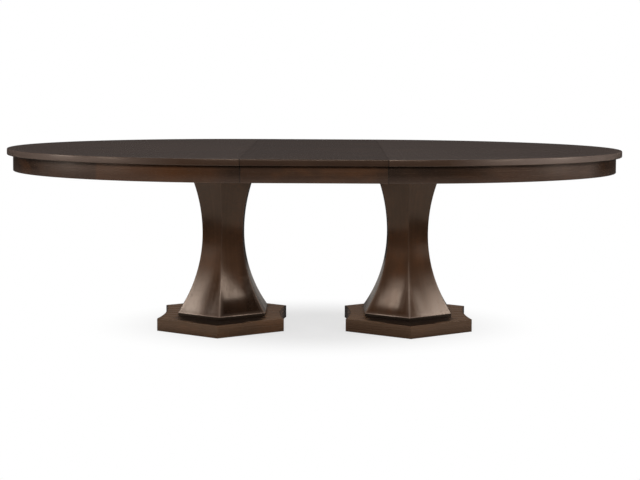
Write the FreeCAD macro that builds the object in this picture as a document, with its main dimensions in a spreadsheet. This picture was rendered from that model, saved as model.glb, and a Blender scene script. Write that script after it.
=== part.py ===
import FreeCAD
import Part
import Sketcher
import math
import os
import re

# Double pedestal dining table, with its leaf in place.
# Two fixed pedestals carry a pair of runners. The two halves of the oval top ride on the runners
# with wooden slides, and a pinion between two racks moves the halves apart equally. The leaf lies
# on the runners between the halves, and four hooked latches can hold it to them.
# Frame: the origin is on the floor under the middle of the top, X runs along the table, the front
# looks to -Y, and Z points up. All lengths are millimetres.

SIZES = (
    # the oval top and its leaf
    ("table_height", 762.0, "floor to the face of the top"),
    ("top_thickness", 26.0, "board of the top"),
    ("top_depth", 1372.0, "front edge to back edge"),
    ("closed_length", 2045.0, "both halves pushed together"),
    ("leaf_width", 559.0, "leaf, along the table"),
    ("seam_gap", 0.5, "between the leaf and each half"),
    ("top_edge_round", 4.0, "eased edge of the top"),
    # the apron under the edge of the top
    ("apron_height", 67.0, "below the top"),
    ("apron_thickness", 22.0, "bent and straight apron boards"),
    ("apron_inset", 25.0, "apron behind the edge of the top"),
    ("glue_block_length", 60.0, "block along the apron"),
    ("glue_block_depth", 26.0, "block, square to the apron"),
    ("glue_block_height", 30.0, "block below the top"),
    # plinths, collars and columns
    ("pedestal_spacing", 788.0, "between the two column axes"),
    ("glide_height", 2.5, "nylon floor glide"),
    ("glide_radius", 12.0, "nylon floor glide"),
    ("glide_circle_share", 0.82, "glide circle over the plinth's corner circle"),
    ("plinth_height", 55.0, "floor to the top of the plinth"),
    ("plinth_ledge", 81.0, "plinth standing out past the foot of the column"),
    ("plinth_scoop", 19.5, "hollow of the plinth's two end sides"),
    ("plinth_edge_round", 2.0, "eased upper edge of the plinth"),
    ("collar_height", 14.0, "band between plinth and column"),
    ("neck_apothem", 85.5, "column axis to its flats, at the neck"),
    ("foot_flare", 98.5, "foot of the column past its neck"),
    ("head_flare", 54.5, "head of the column past its neck"),
    ("neck_share", 0.549, "height of the neck over the column's height"),
    ("stave_thickness", 43.5, "stave at the neck"),
    # tie rod that clamps each pedestal together
    ("rod_radius", 6.0, "threaded tie rod"),
    ("rod_clearance", 0.5, "round the rod in its bores"),
    ("thread_clearance", 0.05, "between rod and nut"),
    ("nut_flats", 19.0, "nut across its flats"),
    ("nut_height", 10.0, "nut"),
    ("washer_radius", 15.0, "washer"),
    ("washer_thickness", 2.5, "washer"),
    ("rod_end", 1.5, "rod standing out of its nuts"),
    ("recess_clearance", 2.0, "recess under the plinth, round the washer"),
    ("recess_cover", 8.0, "rod's end inside the recess"),
    # bearers and runners on the columns
    ("bearer_length", 420.0, "bearer board, along the table"),
    ("bearer_overhang", 77.0, "bearer board past the runners' outer faces"),
    ("bearer_thickness", 18.0, "bearer board"),
    ("runner_gap", 314.0, "between the two runners' inner faces"),
    ("runner_overhang", 46.0, "runner past the bearers"),
    ("runner_width", 46.0, "runner"),
    ("runner_height", 45.7, "runner"),
    ("groove_height", 12.6, "groove in the side of a runner"),
    ("groove_depth", 11.0, "groove in the side of a runner"),
    ("running_gap", 0.3, "between sliding faces"),
    ("screw_radius", 2.5, "wood screw"),
    ("screw_head_radius", 5.0, "wood screw"),
    ("screw_head_height", 3.0, "wood screw"),
    ("screw_bite", 14.0, "screw into the second piece"),
    # slides under the two halves
    ("slide_length", 920.0, "slide"),
    ("slide_reach", 60.0, "slide past the middle of the table"),
    ("slide_width", 30.0, "slide"),
    ("slide_clearance", 2.0, "slide above the bearer"),
    ("leaf_relief", 0.5, "slide lowered under the leaf"),
    ("slide_screw_count", 4.0, "screws through each slide"),
    ("slide_screw_margin", 80.0, "end screws from the seam and the slide's end"),
    # equalizer: pinion, racks and what carries them
    ("crossbar_margin", 21.0, "crossbar past the pinion's pitch circle"),
    ("gear_module", 3.0, "pinion and racks"),
    ("gear_teeth", 16.0, "pinion"),
    ("gear_thickness", 12.0, "pinion and racks"),
    ("gear_lift", 4.0, "pinion above the crossbar"),
    ("gear_backlash", 0.3, "each tooth thinner than its space"),
    ("addendum_share", 0.8, "tooth above the pitch line over the module"),
    ("dedendum_share", 1.05, "tooth below the pitch line over the module"),
    ("pressure_angle", 20.0, "tooth flank, degrees"),
    ("axle_radius", 6.0, "pinion axle"),
    ("axle_collar_radius", 10.0, "shoulder under the pinion"),
    ("axle_clearance", 0.05, "pinion bore over its axle"),
    ("axle_end", 4.0, "axle above the pinion"),
    ("rack_back", 14.0, "rack bar behind its teeth"),
    ("rack_tail", 80.0, "rack past the pinion"),
    ("rack_teeth_length", 350.0, "toothed stretch of the rack"),
    ("batten_width", 40.0, "batten that holds a rack"),
    ("batten_setback", 150.0, "batten's middle behind the seam"),
    ("batten_clearance", 6.7, "batten's ends beside the slides"),
    # battens under the leaf, latches and keepers
    ("leaf_batten_width", 40.0, "batten under the leaf"),
    ("leaf_batten_height", 30.0, "batten under the leaf"),
    ("leaf_batten_setback", 84.0, "batten's middle behind the leaf's edge"),
    ("leaf_batten_clearance", 1.0, "batten end beside the slide"),
    ("latch_row_share", 0.485, "latch place between slide and apron"),
    ("latch_margin", 10.0, "plates behind the seam and the leaf's edge"),
    ("latch_plate_length", 44.0, "latch and keeper plates"),
    ("latch_plate_width", 30.0, "latch and keeper plates"),
    ("latch_plate_thickness", 3.0, "latch and keeper plates"),
    ("latch_arm_width", 18.0, "latch arm"),
    ("latch_arm_thickness", 4.0, "latch arm"),
    ("latch_tip", 13.0, "arm past the peg"),
    ("latch_gap", 0.5, "above and below the arm"),
    ("latch_notch", 9.0, "width of the hook's notch"),
    ("latch_pin_radius", 3.0, "pivot and peg"),
    ("latch_pin_clearance", 0.05, "arm's bore over its pivot"),
    ("latch_rivet_radius", 5.5, "rivet head under the arm"),
    ("latch_rivet_height", 2.0, "rivet head under the arm"),
    ("peg_length", 10.0, "peg below its keeper plate"),
    # one overrun for every cut
    ("overrun", 5.0, "tool past the face that it cuts"),
)

# Places and sizes worked out from the driving ones.
DERIVED = {
    "underside": "table_height - top_thickness",
    "apron_bottom": "underside - apron_height",
    "leaf_edge": "leaf_width / 2",
    "seam": "leaf_edge + seam_gap",
    "half_depth": "top_depth / 2",
    "half_length": "closed_length / 2",
    "apron_back": "apron_inset + apron_thickness",
    "pedestal_place": "pedestal_spacing / 2",
    "foot_apothem": "neck_apothem + foot_flare",
    "head_apothem": "neck_apothem + head_flare",
    "cavity_apothem": "neck_apothem - stave_thickness",
    "plinth_apothem": "foot_apothem + plinth_ledge",
    "plinth_radius": "plinth_apothem / cos(30)",
    "plinth_side": "plinth_apothem * tan(30)",
    "plinth_thickness": "plinth_height - glide_height",
    "column_foot": "plinth_height + collar_height",
    "runner_top": "underside - running_gap",
    "runner_bottom": "runner_top - runner_height",
    "bearer_bottom": "runner_bottom - bearer_thickness",
    "neck_height": "column_foot + neck_share * (bearer_bottom - column_foot)",
    "nut_recess_radius": "washer_radius + recess_clearance",
    "nut_recess_depth": "recess_cover + rod_end + nut_height + washer_thickness",
    "recess_top": "glide_height + nut_recess_depth",
    "rails_width": "runner_gap + 2 * runner_width",
    "bearer_width": "rails_width + 2 * bearer_overhang",
    "runner_length": "pedestal_spacing + bearer_length + 2 * runner_overhang",
    "bore_radius": "rod_radius + rod_clearance",
    "runner_place": "(runner_gap + runner_width) / 2",
    "slide_bottom": "runner_bottom + slide_clearance",
    "slide_height": "underside - slide_bottom",
    "slide_end": "slide_length - slide_reach",
    "slide_back": "runner_place + slide_face + slide_width",
    "groove_middle": "runner_bottom + runner_height / 2",
    "tongue_height": "groove_height - 2 * running_gap",
    "slide_face": "runner_width / 2 + running_gap",
    "gear_bottom": "runner_bottom + gear_lift",
    "gear_top": "gear_bottom + gear_thickness",
    "gear_radius": "gear_module * gear_teeth / 2",
    "batten_place": "seam + batten_setback",
    "batten_length": "2 * (runner_place - slide_face - slide_width - batten_clearance)",
    "rack_length": "rack_tail + batten_place + batten_width / 2",
    "latch_plate_bottom": "underside - latch_plate_thickness",
    "latch_arm_bottom": "latch_plate_bottom - latch_gap - latch_arm_thickness",
    "latch_place": "seam + latch_margin + latch_plate_width / 2",
    "peg_place": "leaf_edge - latch_margin - latch_plate_width / 2",
    "latch_reach": "latch_place - peg_place",
    "apron_face": "half_depth - apron_back",
    "latch_row": "slide_back + latch_row_share * (apron_face - slide_back)",
}

SIDES = {"left": -1, "right": 1}
ROWS = {"front": -1, "back": 1}
HEXAGON = 6
HEXAGON_TURN = 360 // HEXAGON
GLUE_BLOCK_ANGLES = (-72, -48, -24, 0, 24, 48, 72)
FLAT = 1e-6

doc = FreeCAD.newDocument("DoublePedestalTable")
sheet = doc.addObject("Spreadsheet::Sheet", "Sizes")
for row_number, (alias, number, meaning) in enumerate(SIZES, 1):
    sheet.set(f"A{row_number}", alias)
    sheet.set(f"B{row_number}", str(number))
    sheet.set(f"C{row_number}", meaning)
    sheet.setAlias(f"B{row_number}", alias)
doc.recompute()
ALIASES = {alias for alias, number, meaning in SIZES}
nodes = []


def expr(formula):
    """A formula in plain names, rewritten with the sheet's cells."""

    def swap(match):
        word = match.group(0)
        if word in DERIVED:
            return f"({expr(DERIVED[word])})"
        return f"Sizes.{word}" if word in ALIASES else word

    return re.sub(r"[a-z_]+", swap, formula)


def value(formula):
    """The number that a formula gives now."""
    return float(sheet.evalExpression(expr(formula)))


def bind(obj, **formulas):
    """Tie properties of an object to formulas."""
    for name, formula in formulas.items():
        obj.setExpression(name, expr(formula))
    return obj


def place(obj, x="0", y="0", z="0", turn="0"):
    """Put an object at a place, turned about the vertical."""
    for path, formula in (("Base.x", x), ("Base.y", y), ("Base.z", z), ("Rotation.Angle", turn)):
        if formula != "0":
            obj.setExpression(f"Placement.{path}", expr(formula))
    return obj


def node(obj, label):
    """Keep a finished sub-part under its own name."""
    obj.Label = label
    nodes.append(obj)
    return obj


def box(name, middle, size):
    """A block: the middle of its bottom face, and its three lengths."""
    obj = bind(doc.addObject("Part::Box", name), Length=size[0], Width=size[1], Height=size[2])
    return place(obj, f"{middle[0]} - ({size[0]}) / 2", f"{middle[1]} - ({size[1]}) / 2", middle[2])


def cylinder(name, foot, radius, height):
    """An upright round bar: the middle of its lower end, its radius and its height."""
    obj = bind(doc.addObject("Part::Cylinder", name), Radius=radius, Height=height)
    return place(obj, *foot)


def cone(name, foot, low_radius, high_radius, height):
    """An upright cone: the middle of its lower end, its two radii and its height."""
    obj = doc.addObject("Part::Cone", name)
    bind(obj, Radius1=low_radius, Radius2=high_radius, Height=height)
    return place(obj, *foot)


def prism(name, foot, flats, height):
    """An upright six-sided bar, by the distance across its flats."""
    obj = doc.addObject("Part::Prism", name)
    obj.Polygon = HEXAGON
    bind(obj, Circumradius=f"({flats}) / 2 / cos(30)", Height=height)
    return place(obj, *foot)


def cut(name, base, tool):
    """A base with a tool taken away."""
    obj = doc.addObject("Part::Cut", name)
    obj.Base = base
    obj.Tool = tool
    return obj


def common(name, base, tool):
    """What two shapes share."""
    obj = doc.addObject("Part::Common", name)
    obj.Base = base
    obj.Tool = tool
    return obj


def fuse(name, pieces):
    """Shapes joined into one solid."""
    obj = doc.addObject("Part::MultiFuse", name)
    obj.Shapes = pieces
    return obj


def group(name, pieces):
    """Separate solids kept together."""
    obj = doc.addObject("Part::Compound", name)
    obj.Links = pieces
    return obj


def oval(name, middle, inset, bottom, height):
    """An upright oval block as large as a closed top, less an inset all round."""
    rim = doc.addObject("Part::Ellipse", f"{name}_rim")
    bind(rim, MajorRadius=f"half_length - ({inset})", MinorRadius=f"half_depth - ({inset})")
    place(rim, middle, "0", bottom)
    block = doc.addObject("Part::Extrusion", name)
    block.Base = rim
    block.DirMode = "Custom"
    block.Dir = FreeCAD.Vector(0, 0, 1)
    block.Solid = True
    return bind(block, LengthFwd=height)


def rounded(name, base, radius, chosen):
    """A shape with the edges that a test chooses made round."""
    doc.recompute()
    obj = doc.addObject("Part::Fillet", name)
    obj.Base = base
    size = value(radius)
    obj.Edges = [(i, size, size) for i, edge in enumerate(base.Shape.Edges, 1) if chosen(edge)]
    return obj


def body(name, x="0", y="0", z="0", turn="0"):
    """A new body at its place."""
    return place(doc.addObject("PartDesign::Body", name), x, y, z, turn)


def outline(owner, plane, corners, arcs=None):
    """A closed sketch on one of a body's origin planes.

    corners are pairs of formulas. An edge named in arcs by its number is an arc with that radius,
    bulging to the left (+1) or the right (-1) of the way round.
    """
    arcs = arcs or {}
    sketch = owner.newObject("Sketcher::SketchObject", f"{owner.Name}_sketch")
    support = next(f for f in owner.Origin.OriginFeatures if f.Role == plane)
    sketch.AttachmentSupport = (support, [""])
    sketch.MapMode = "FlatFace"
    points = [FreeCAD.Vector(value(a), value(b), 0) for a, b in corners]
    ends = []
    for i, start in enumerate(points):
        stop = points[(i + 1) % len(points)]
        if i in arcs:
            radius, bulge = value(arcs[i][0]), arcs[i][1]
            chord = stop - start
            rise = math.sqrt(radius**2 - (chord.Length / 2) ** 2)
            left = FreeCAD.Vector(-chord.y, chord.x, 0).normalize()
            centre = (start + stop) / 2 - left * rise * bulge
            first, last = (stop, start) if bulge > 0 else (start, stop)
            angles = [math.atan2((p - centre).y, (p - centre).x) for p in (first, last)]
            circle = Part.Circle(centre, FreeCAD.Vector(0, 0, 1), radius)
            sketch.addGeometry(Part.ArcOfCircle(circle, *angles))
            ends.append((2, 1) if bulge > 0 else (1, 2))
        else:
            sketch.addGeometry(Part.LineSegment(start, stop))
            ends.append((1, 2))
    for i, (a, b) in enumerate(corners):
        after = (i + 1) % len(corners)
        sketch.addConstraint(Sketcher.Constraint("Coincident", i, ends[i][1], after, ends[after][0]))
        for kind, formula, now in (("DistanceX", a, points[i].x), ("DistanceY", b, points[i].y)):
            mark = sketch.addConstraint(Sketcher.Constraint(kind, -1, 1, i, ends[i][0], now))
            sketch.setExpression(f"Constraints[{mark}]", expr(formula))
        if i in arcs:
            mark = sketch.addConstraint(Sketcher.Constraint("Radius", i, value(arcs[i][0])))
            sketch.setExpression(f"Constraints[{mark}]", expr(arcs[i][0]))
    return sketch


def pad(owner, sketch, length, symmetric=False):
    """Thicken a sketch, upwards or to both sides."""
    feature = owner.newObject("PartDesign::Pad", f"{owner.Name}_pad")
    feature.Profile = sketch
    feature.SideType = "Symmetric" if symmetric else "One side"
    return bind(feature, Length=length)


def pocket_through(owner, sketch):
    """Cut a sketch right through a body, both ways."""
    feature = owner.newObject("PartDesign::Pocket", f"{owner.Name}_pocket")
    feature.Profile = sketch
    feature.SideType = "Symmetric"
    feature.Type = "ThroughAll"
    return feature


def pocket_up(owner, sketch, depth):
    """Cut a sketch upwards from its plane."""
    feature = owner.newObject("PartDesign::Pocket", f"{owner.Name}_pocket")
    feature.Profile = sketch
    feature.Reversed = True
    return bind(feature, Length=depth)


def round_sketch(owner, radius, x="0", y="0"):
    """A circle on a body's horizontal origin plane."""
    sketch = owner.newObject("Sketcher::SketchObject", f"{owner.Name}_circle")
    support = next(f for f in owner.Origin.OriginFeatures if f.Role == "XY_Plane")
    sketch.AttachmentSupport = (support, [""])
    sketch.MapMode = "FlatFace"
    middle = FreeCAD.Vector(value(x), value(y), 0)
    sketch.addGeometry(Part.Circle(middle, FreeCAD.Vector(0, 0, 1), value(radius)))
    for kind, formula, now in (("DistanceX", x, middle.x), ("DistanceY", y, middle.y)):
        mark = sketch.addConstraint(Sketcher.Constraint(kind, -1, 1, 0, 3, now))
        sketch.setExpression(f"Constraints[{mark}]", expr(formula))
    mark = sketch.addConstraint(Sketcher.Constraint("Radius", 0, value(radius)))
    sketch.setExpression(f"Constraints[{mark}]", expr(radius))
    return sketch


def ease(owner, radius, chosen):
    """Round the edges of a body that a test chooses."""
    doc.recompute()
    tip = owner.Tip
    names = [f"Edge{i}" for i, edge in enumerate(tip.Shape.Edges, 1) if chosen(edge)]
    feature = owner.newObject("PartDesign::Fillet", f"{owner.Name}_round")
    feature.Base = (tip, names)
    return bind(feature, Radius=radius)


def level(edge, height):
    """Whether an edge lies flat at a height."""
    limits = edge.BoundBox
    return abs(limits.ZMin - height) < FLAT and abs(limits.ZMax - height) < FLAT


def screw(name, x, y, head_bottom, length):
    """A wood screw driven upwards, with its flat head at the bottom."""
    head = cone(
        f"{name}_head", (x, y, head_bottom), "screw_head_radius", "screw_radius", "screw_head_height"
    )
    shank = cylinder(f"{name}_shank", (x, y, head_bottom), "screw_radius", length)
    return fuse(name, [head, shank])


# Pedestals


def hexagon(apothem):
    """Corners of a regular six-sided outline with a corner at the front and one at the back."""
    side = f"({apothem}) * tan(30)"
    tip = f"({apothem}) / cos(30)"
    return [
        ("0", f"-1 * {tip}"),
        (apothem, f"-1 * {side}"),
        (apothem, side),
        ("0", tip),
        (f"-1 * ({apothem})", side),
        (f"-1 * ({apothem})", f"-1 * {side}"),
    ]


def plinth(side, x):
    """Six-sided plinth, hollowed on its two end sides, bored for the tie rod."""
    piece = body(f"plinth_{side}", x, "0", "glide_height")
    scoop = "(plinth_side * plinth_side + plinth_scoop * plinth_scoop) / (2 * plinth_scoop)"
    right_end, left_end = 1, 4
    hollow_sides = {right_end: (scoop, 1), left_end: (scoop, 1)}
    pad(piece, outline(piece, "XY_Plane", hexagon("plinth_apothem"), hollow_sides), "plinth_thickness")
    pocket_through(piece, round_sketch(piece, "bore_radius"))
    pocket_up(piece, round_sketch(piece, "nut_recess_radius"), "nut_recess_depth")
    height = value("plinth_thickness")
    wide = value("2 * bore_radius")
    ease(piece, "plinth_edge_round", lambda e: level(e, height) and e.Length > 2 * wide)
    node(piece, f"plinth_{side}")


def collar(side, x):
    """Six-sided band that the foot of the column stands on."""
    piece = body(f"collar_{side}", x, "0", "plinth_height")
    pad(piece, outline(piece, "XY_Plane", hexagon("foot_apothem")), "collar_height")
    pocket_through(piece, round_sketch(piece, "bore_radius"))
    node(piece, f"collar_{side}")


def arc_radius(rise, run):
    """Radius of an arc that starts upright at the neck and gains a run over a rise."""
    return f"(({rise}) * ({rise}) + ({run}) * ({run})) / (2 * ({run}))"


def stave(side, number, x):
    """One of the six mitred staves of a column, hollow-curved from foot to neck to head."""
    turn = str(number * HEXAGON_TURN)
    piece = body(f"column_{side}_stave_{number + 1}", x, "0", "0", turn)
    corners = [
        ("cavity_apothem", "column_foot"),
        ("foot_apothem", "column_foot"),
        ("neck_apothem", "neck_height"),
        ("head_apothem", "bearer_bottom"),
        ("cavity_apothem", "bearer_bottom"),
    ]
    lower = arc_radius("neck_height - column_foot", "foot_apothem - neck_apothem")
    upper = arc_radius("bearer_bottom - neck_height", "head_apothem - neck_apothem")
    to_neck, to_head = 1, 2
    section = outline(piece, "XZ_Plane", corners, {to_neck: (lower, 1), to_head: (upper, 1)})
    pad(piece, section, "2 * foot_apothem", symmetric=True)
    past = "foot_apothem + overrun"
    for way in ("1", "-1"):
        mitre = [
            ("0", "0"),
            (past, f"{way} * ({past}) * tan(30)"),
            (past, f"{way} * ({past})"),
            ("0", f"{way} * ({past})"),
        ]
        pocket_through(piece, outline(piece, "XY_Plane", mitre))
    node(piece, piece.Name)


def tie_rod(side, x):
    """Threaded rod that clamps plinth, collar, column and bearer, with its nuts and washers."""
    low_nut = "recess_top - washer_thickness - nut_height"
    high_nut = "runner_bottom + washer_thickness"
    foot = f"{low_nut} - rod_end"
    length = f"{high_nut} + nut_height + rod_end - ({foot})"
    node(cylinder(f"tie_rod_{side}", (x, "0", foot), "rod_radius", length), f"tie_rod_{side}")
    pieces = []
    for end, nut_z, washer_z in (
        ("low", low_nut, "recess_top - washer_thickness"),
        ("high", high_nut, "runner_bottom"),
    ):
        name = f"tie_{end}_{side}"
        nut = prism(f"{name}_nut", (x, "0", nut_z), "nut_flats", "nut_height")
        thread = cylinder(f"{name}_thread", (x, "0", nut_z), "rod_radius + thread_clearance", "nut_height")
        washer = cylinder(f"{name}_disc", (x, "0", washer_z), "washer_radius", "washer_thickness")
        hole = cylinder(f"{name}_hole", (x, "0", washer_z), "bore_radius", "washer_thickness")
        pieces += [cut(f"{name}_bored_nut", nut, thread), cut(f"{name}_washer", washer, hole)]
    node(group(f"tie_nuts_{side}", pieces), f"tie_nuts_{side}")


def floor_glides(side, x):
    """Nylon glides under the corners of a plinth."""
    circle = "glide_circle_share * plinth_radius"
    pieces = []
    for k in range(HEXAGON):
        angle = HEXAGON_TURN * k + HEXAGON_TURN // 2
        foot = (f"{x} + {circle} * cos({angle})", f"{circle} * sin({angle})", "0")
        pieces.append(cylinder(f"glide_{side}_{k + 1}", foot, "glide_radius", "glide_height"))
    node(group(f"floor_glides_{side}", pieces), f"floor_glides_{side}")


def bearer(side, x):
    """Board on the head of a column, with the screws that hold the runners to it."""
    size = ("bearer_length", "bearer_width", "bearer_thickness")
    board = box(f"bearer_board_{side}", (x, "0", "bearer_bottom"), size)
    bore = cylinder(f"bearer_bore_{side}", (x, "0", "bearer_bottom"), "bore_radius", "bearer_thickness")
    node(cut(f"bearer_{side}", board, bore), f"bearer_{side}")
    screws = []
    for row, across in ROWS.items():
        for end, along in SIDES.items():
            screw_x = f"{x} + {along} * bearer_length / 3"
            screw_y = f"{across} * runner_place"
            name = f"bearer_screw_{side}_{row}_{end}"
            screws.append(screw(name, screw_x, screw_y, "bearer_bottom", "bearer_thickness + screw_bite"))
    node(group(f"bearer_screws_{side}", screws), f"bearer_screws_{side}")


# Runners and slides


def runner(row, across):
    """Fixed runner with a groove along each side."""
    piece = body(f"runner_{row}", "0", f"{across} * runner_place")
    half = "runner_width / 2"
    groove = f"({half} - groove_depth)"
    low = "groove_middle - groove_height / 2"
    high = "groove_middle + groove_height / 2"
    right = [
        (half, "runner_bottom"),
        (half, low),
        (groove, low),
        (groove, high),
        (half, high),
        (half, "runner_top"),
    ]
    left = [(f"-1 * {a}", b) for a, b in reversed(right)]
    pad(piece, outline(piece, "YZ_Plane", right + left), "runner_length", symmetric=True)
    node(piece, f"runner_{row}")


def slide(side, way, row, across):
    """Slide under one half of the top, with its tongue in the runner's groove.

    The left half's slides run outside the runners and the right half's inside, so they pass.
    """
    outward = across * -way
    middle = f"{way} * (slide_length / 2 - slide_reach)"
    piece = body(f"slide_{side}_{row}", middle, f"{across} * runner_place")
    low = "groove_middle - tongue_height / 2"
    high = "groove_middle + tongue_height / 2"
    tip = "slide_face - groove_depth"
    back = "slide_face + slide_width"
    corners = [
        ("slide_face", "slide_bottom"),
        (back, "slide_bottom"),
        (back, "underside"),
        ("slide_face", "underside"),
        ("slide_face", high),
        (tip, high),
        (tip, low),
        ("slide_face", low),
    ]
    section = [(f"{outward} * ({a})", b) for a, b in corners]
    pad(piece, outline(piece, "YZ_Plane", section), "slide_length", symmetric=True)
    inner_end = f"{-way} * (slide_length / 2 + overrun)"
    seam_here = f"{way} * seam - ({middle})"
    relief = [
        (inner_end, "underside - leaf_relief"),
        (seam_here, "underside - leaf_relief"),
        (seam_here, "underside + overrun"),
        (inner_end, "underside + overrun"),
    ]
    pocket_through(piece, outline(piece, "XZ_Plane", relief))
    node(piece, f"slide_{side}_{row}")


def slide_screws(side, way):
    """Screws that hold one half's slides to its top."""
    screws = []
    count = round(value("slide_screw_count"))
    first = "seam + slide_screw_margin"
    last = "slide_end - slide_screw_margin"
    for row, across in ROWS.items():
        y = f"{across} * runner_place + {across * -way} * (slide_face + slide_width / 2)"
        for k in range(count):
            x = f"{way} * ({first} + {k} * ({last} - ({first})) / {count - 1})"
            name = f"slide_screw_{side}_{row}_{k + 1}"
            screws.append(screw(name, x, y, "slide_bottom", "slide_height + screw_bite"))
    node(group(f"slide_screws_{side}", screws), f"slide_screws_{side}")


# Equalizer


def crossbar():
    """Board under the runners that carries the pinion's axle."""
    size = ("2 * (gear_radius + crossbar_margin)", "rails_width", "bearer_thickness")
    board = box("crossbar_board", ("0", "0", "bearer_bottom"), size)
    hole = cylinder("crossbar_hole", ("0", "0", "bearer_bottom"), "axle_radius", "bearer_thickness")
    node(cut("gear_crossbar", board, hole), "gear_crossbar")
    stem_length = "gear_top + axle_end - bearer_bottom"
    stem = cylinder("axle_stem", ("0", "0", "bearer_bottom"), "axle_radius", stem_length)
    shoulder = cylinder("axle_shoulder", ("0", "0", "runner_bottom"), "axle_collar_radius", "gear_lift")
    node(fuse("pinion_axle", [stem, shoulder]), "pinion_axle")


def polar(radius, angle):
    """Point at a radius and an angle."""
    return FreeCAD.Vector(radius * math.cos(angle), radius * math.sin(angle), 0)


def involute(angle):
    """How far an involute has turned where its pressure angle is this."""
    return math.tan(angle) - angle


def pinion():
    """Spur pinion with involute flanks, one tooth at the front and one at the back."""
    teeth = round(value("gear_teeth"))
    module = value("gear_module")
    pitch = value("gear_radius")
    pressure = math.radians(value("pressure_angle"))
    base = pitch * math.cos(pressure)
    tip = pitch + module * value("addendum_share")
    root = pitch - module * value("dedendum_share")
    half_tooth = (math.pi * module / 2 - value("gear_backlash")) / 2 / pitch

    def half_angle(radius):
        return half_tooth + involute(pressure) - involute(math.acos(base / radius))

    edges = []
    step = 2 * math.pi / teeth
    for k in range(teeth):
        middle = k * step - math.pi / 2
        rising = [polar(r, middle - half_angle(r)) for r in (base, pitch, tip)]
        falling = [polar(r, middle + half_angle(r)) for r in (tip, pitch, base)]
        foot = polar(root, middle - half_angle(base))
        heel = polar(root, middle + half_angle(base))
        next_foot = polar(root, middle + step - half_angle(base))
        edges += [
            Part.LineSegment(foot, rising[0]).toShape(),
            Part.Arc(*rising).toShape(),
            Part.Arc(rising[2], polar(tip, middle), falling[0]).toShape(),
            Part.Arc(*falling).toShape(),
            Part.LineSegment(falling[2], heel).toShape(),
            Part.Arc(heel, polar(root, middle + step / 2), next_foot).toShape(),
        ]
    thickness = FreeCAD.Vector(0, 0, value("gear_thickness"))
    wheel = Part.Face(Part.Wire(edges)).extrude(thickness)
    bore = Part.makeCylinder(value("axle_radius + axle_clearance"), value("gear_thickness"))
    piece = doc.addObject("Part::Feature", "equalizer_pinion")
    piece.Shape = wheel.cut(bore)
    place(piece, "0", "0", "gear_bottom")
    node(piece, "equalizer_pinion")


def rack(side, way):
    """Toothed bar from one half's batten past the pinion, in mesh with it."""
    module = value("gear_module")
    pitch = math.pi * module
    slope = math.tan(math.radians(value("pressure_angle")))
    rise = module * value("addendum_share")
    fall = module * value("dedendum_share")
    half_tooth = (pitch / 2 - value("gear_backlash")) / 2
    line = -value("gear_radius")
    start = -value("rack_tail")
    stop = start + value("rack_length")
    odd_shift = 0 if way > 0 or round(value("gear_teeth")) % 2 == 0 else pitch / 2
    corners = [(start, line - fall - value("rack_back")), (stop, line - fall - value("rack_back"))]
    corners.append((stop, line - fall))
    first = math.ceil((start + pitch) / pitch)
    for k in reversed(range(first, first + int(value("rack_teeth_length") / pitch))):
        middle = (k + 1 / 2) * pitch + odd_shift
        low, high = half_tooth + fall * slope, half_tooth - rise * slope
        corners += [(middle + low, line - fall), (middle + high, line + rise)]
        corners += [(middle - high, line + rise), (middle - low, line - fall)]
    corners.append((start, line - fall))
    points = [FreeCAD.Vector(x, y, 0) for x, y in corners]
    face = Part.Face(Part.makePolygon(points + points[:1]))
    piece = doc.addObject("Part::Feature", f"rack_{side}")
    piece.Shape = face.extrude(FreeCAD.Vector(0, 0, value("gear_thickness")))
    place(piece, "0", "0", "gear_bottom", "0" if way > 0 else "180")
    node(piece, f"rack_{side}")


def rack_batten(side, way):
    """Batten under one half that its rack is fixed to."""
    middle = (f"{way} * batten_place", "0", "gear_top")
    size = ("batten_width", "batten_length", "underside - gear_top")
    node(box(f"rack_batten_{side}", middle, size), f"rack_batten_{side}")


# Top, apron and leaf


def half_space(name, way, bottom, height):
    """Block that covers everything on one half's side of its seam."""
    length = "half_length + overrun"
    size = (length, "top_depth + 2 * overrun", height)
    return box(name, (f"{way} * (seam + ({length}) / 2)", "0", bottom), size)


def top_half(side, way):
    """Half of the oval top."""
    disc = oval(f"top_disc_{side}", f"{way} * seam", "0", "underside", "top_thickness")
    keep = half_space(f"top_keep_{side}", way, "underside", "top_thickness")
    board = common(f"top_board_{side}", disc, keep)
    levels = [value("underside"), value("table_height")]
    seam_length = value("top_depth")

    def on_rim(edge):
        limits = edge.BoundBox
        return any(level(edge, z) for z in levels) and limits.XLength > FLAT * seam_length

    node(rounded(f"top_{side}", board, "top_edge_round", on_rim), f"top_{side}")


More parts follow.
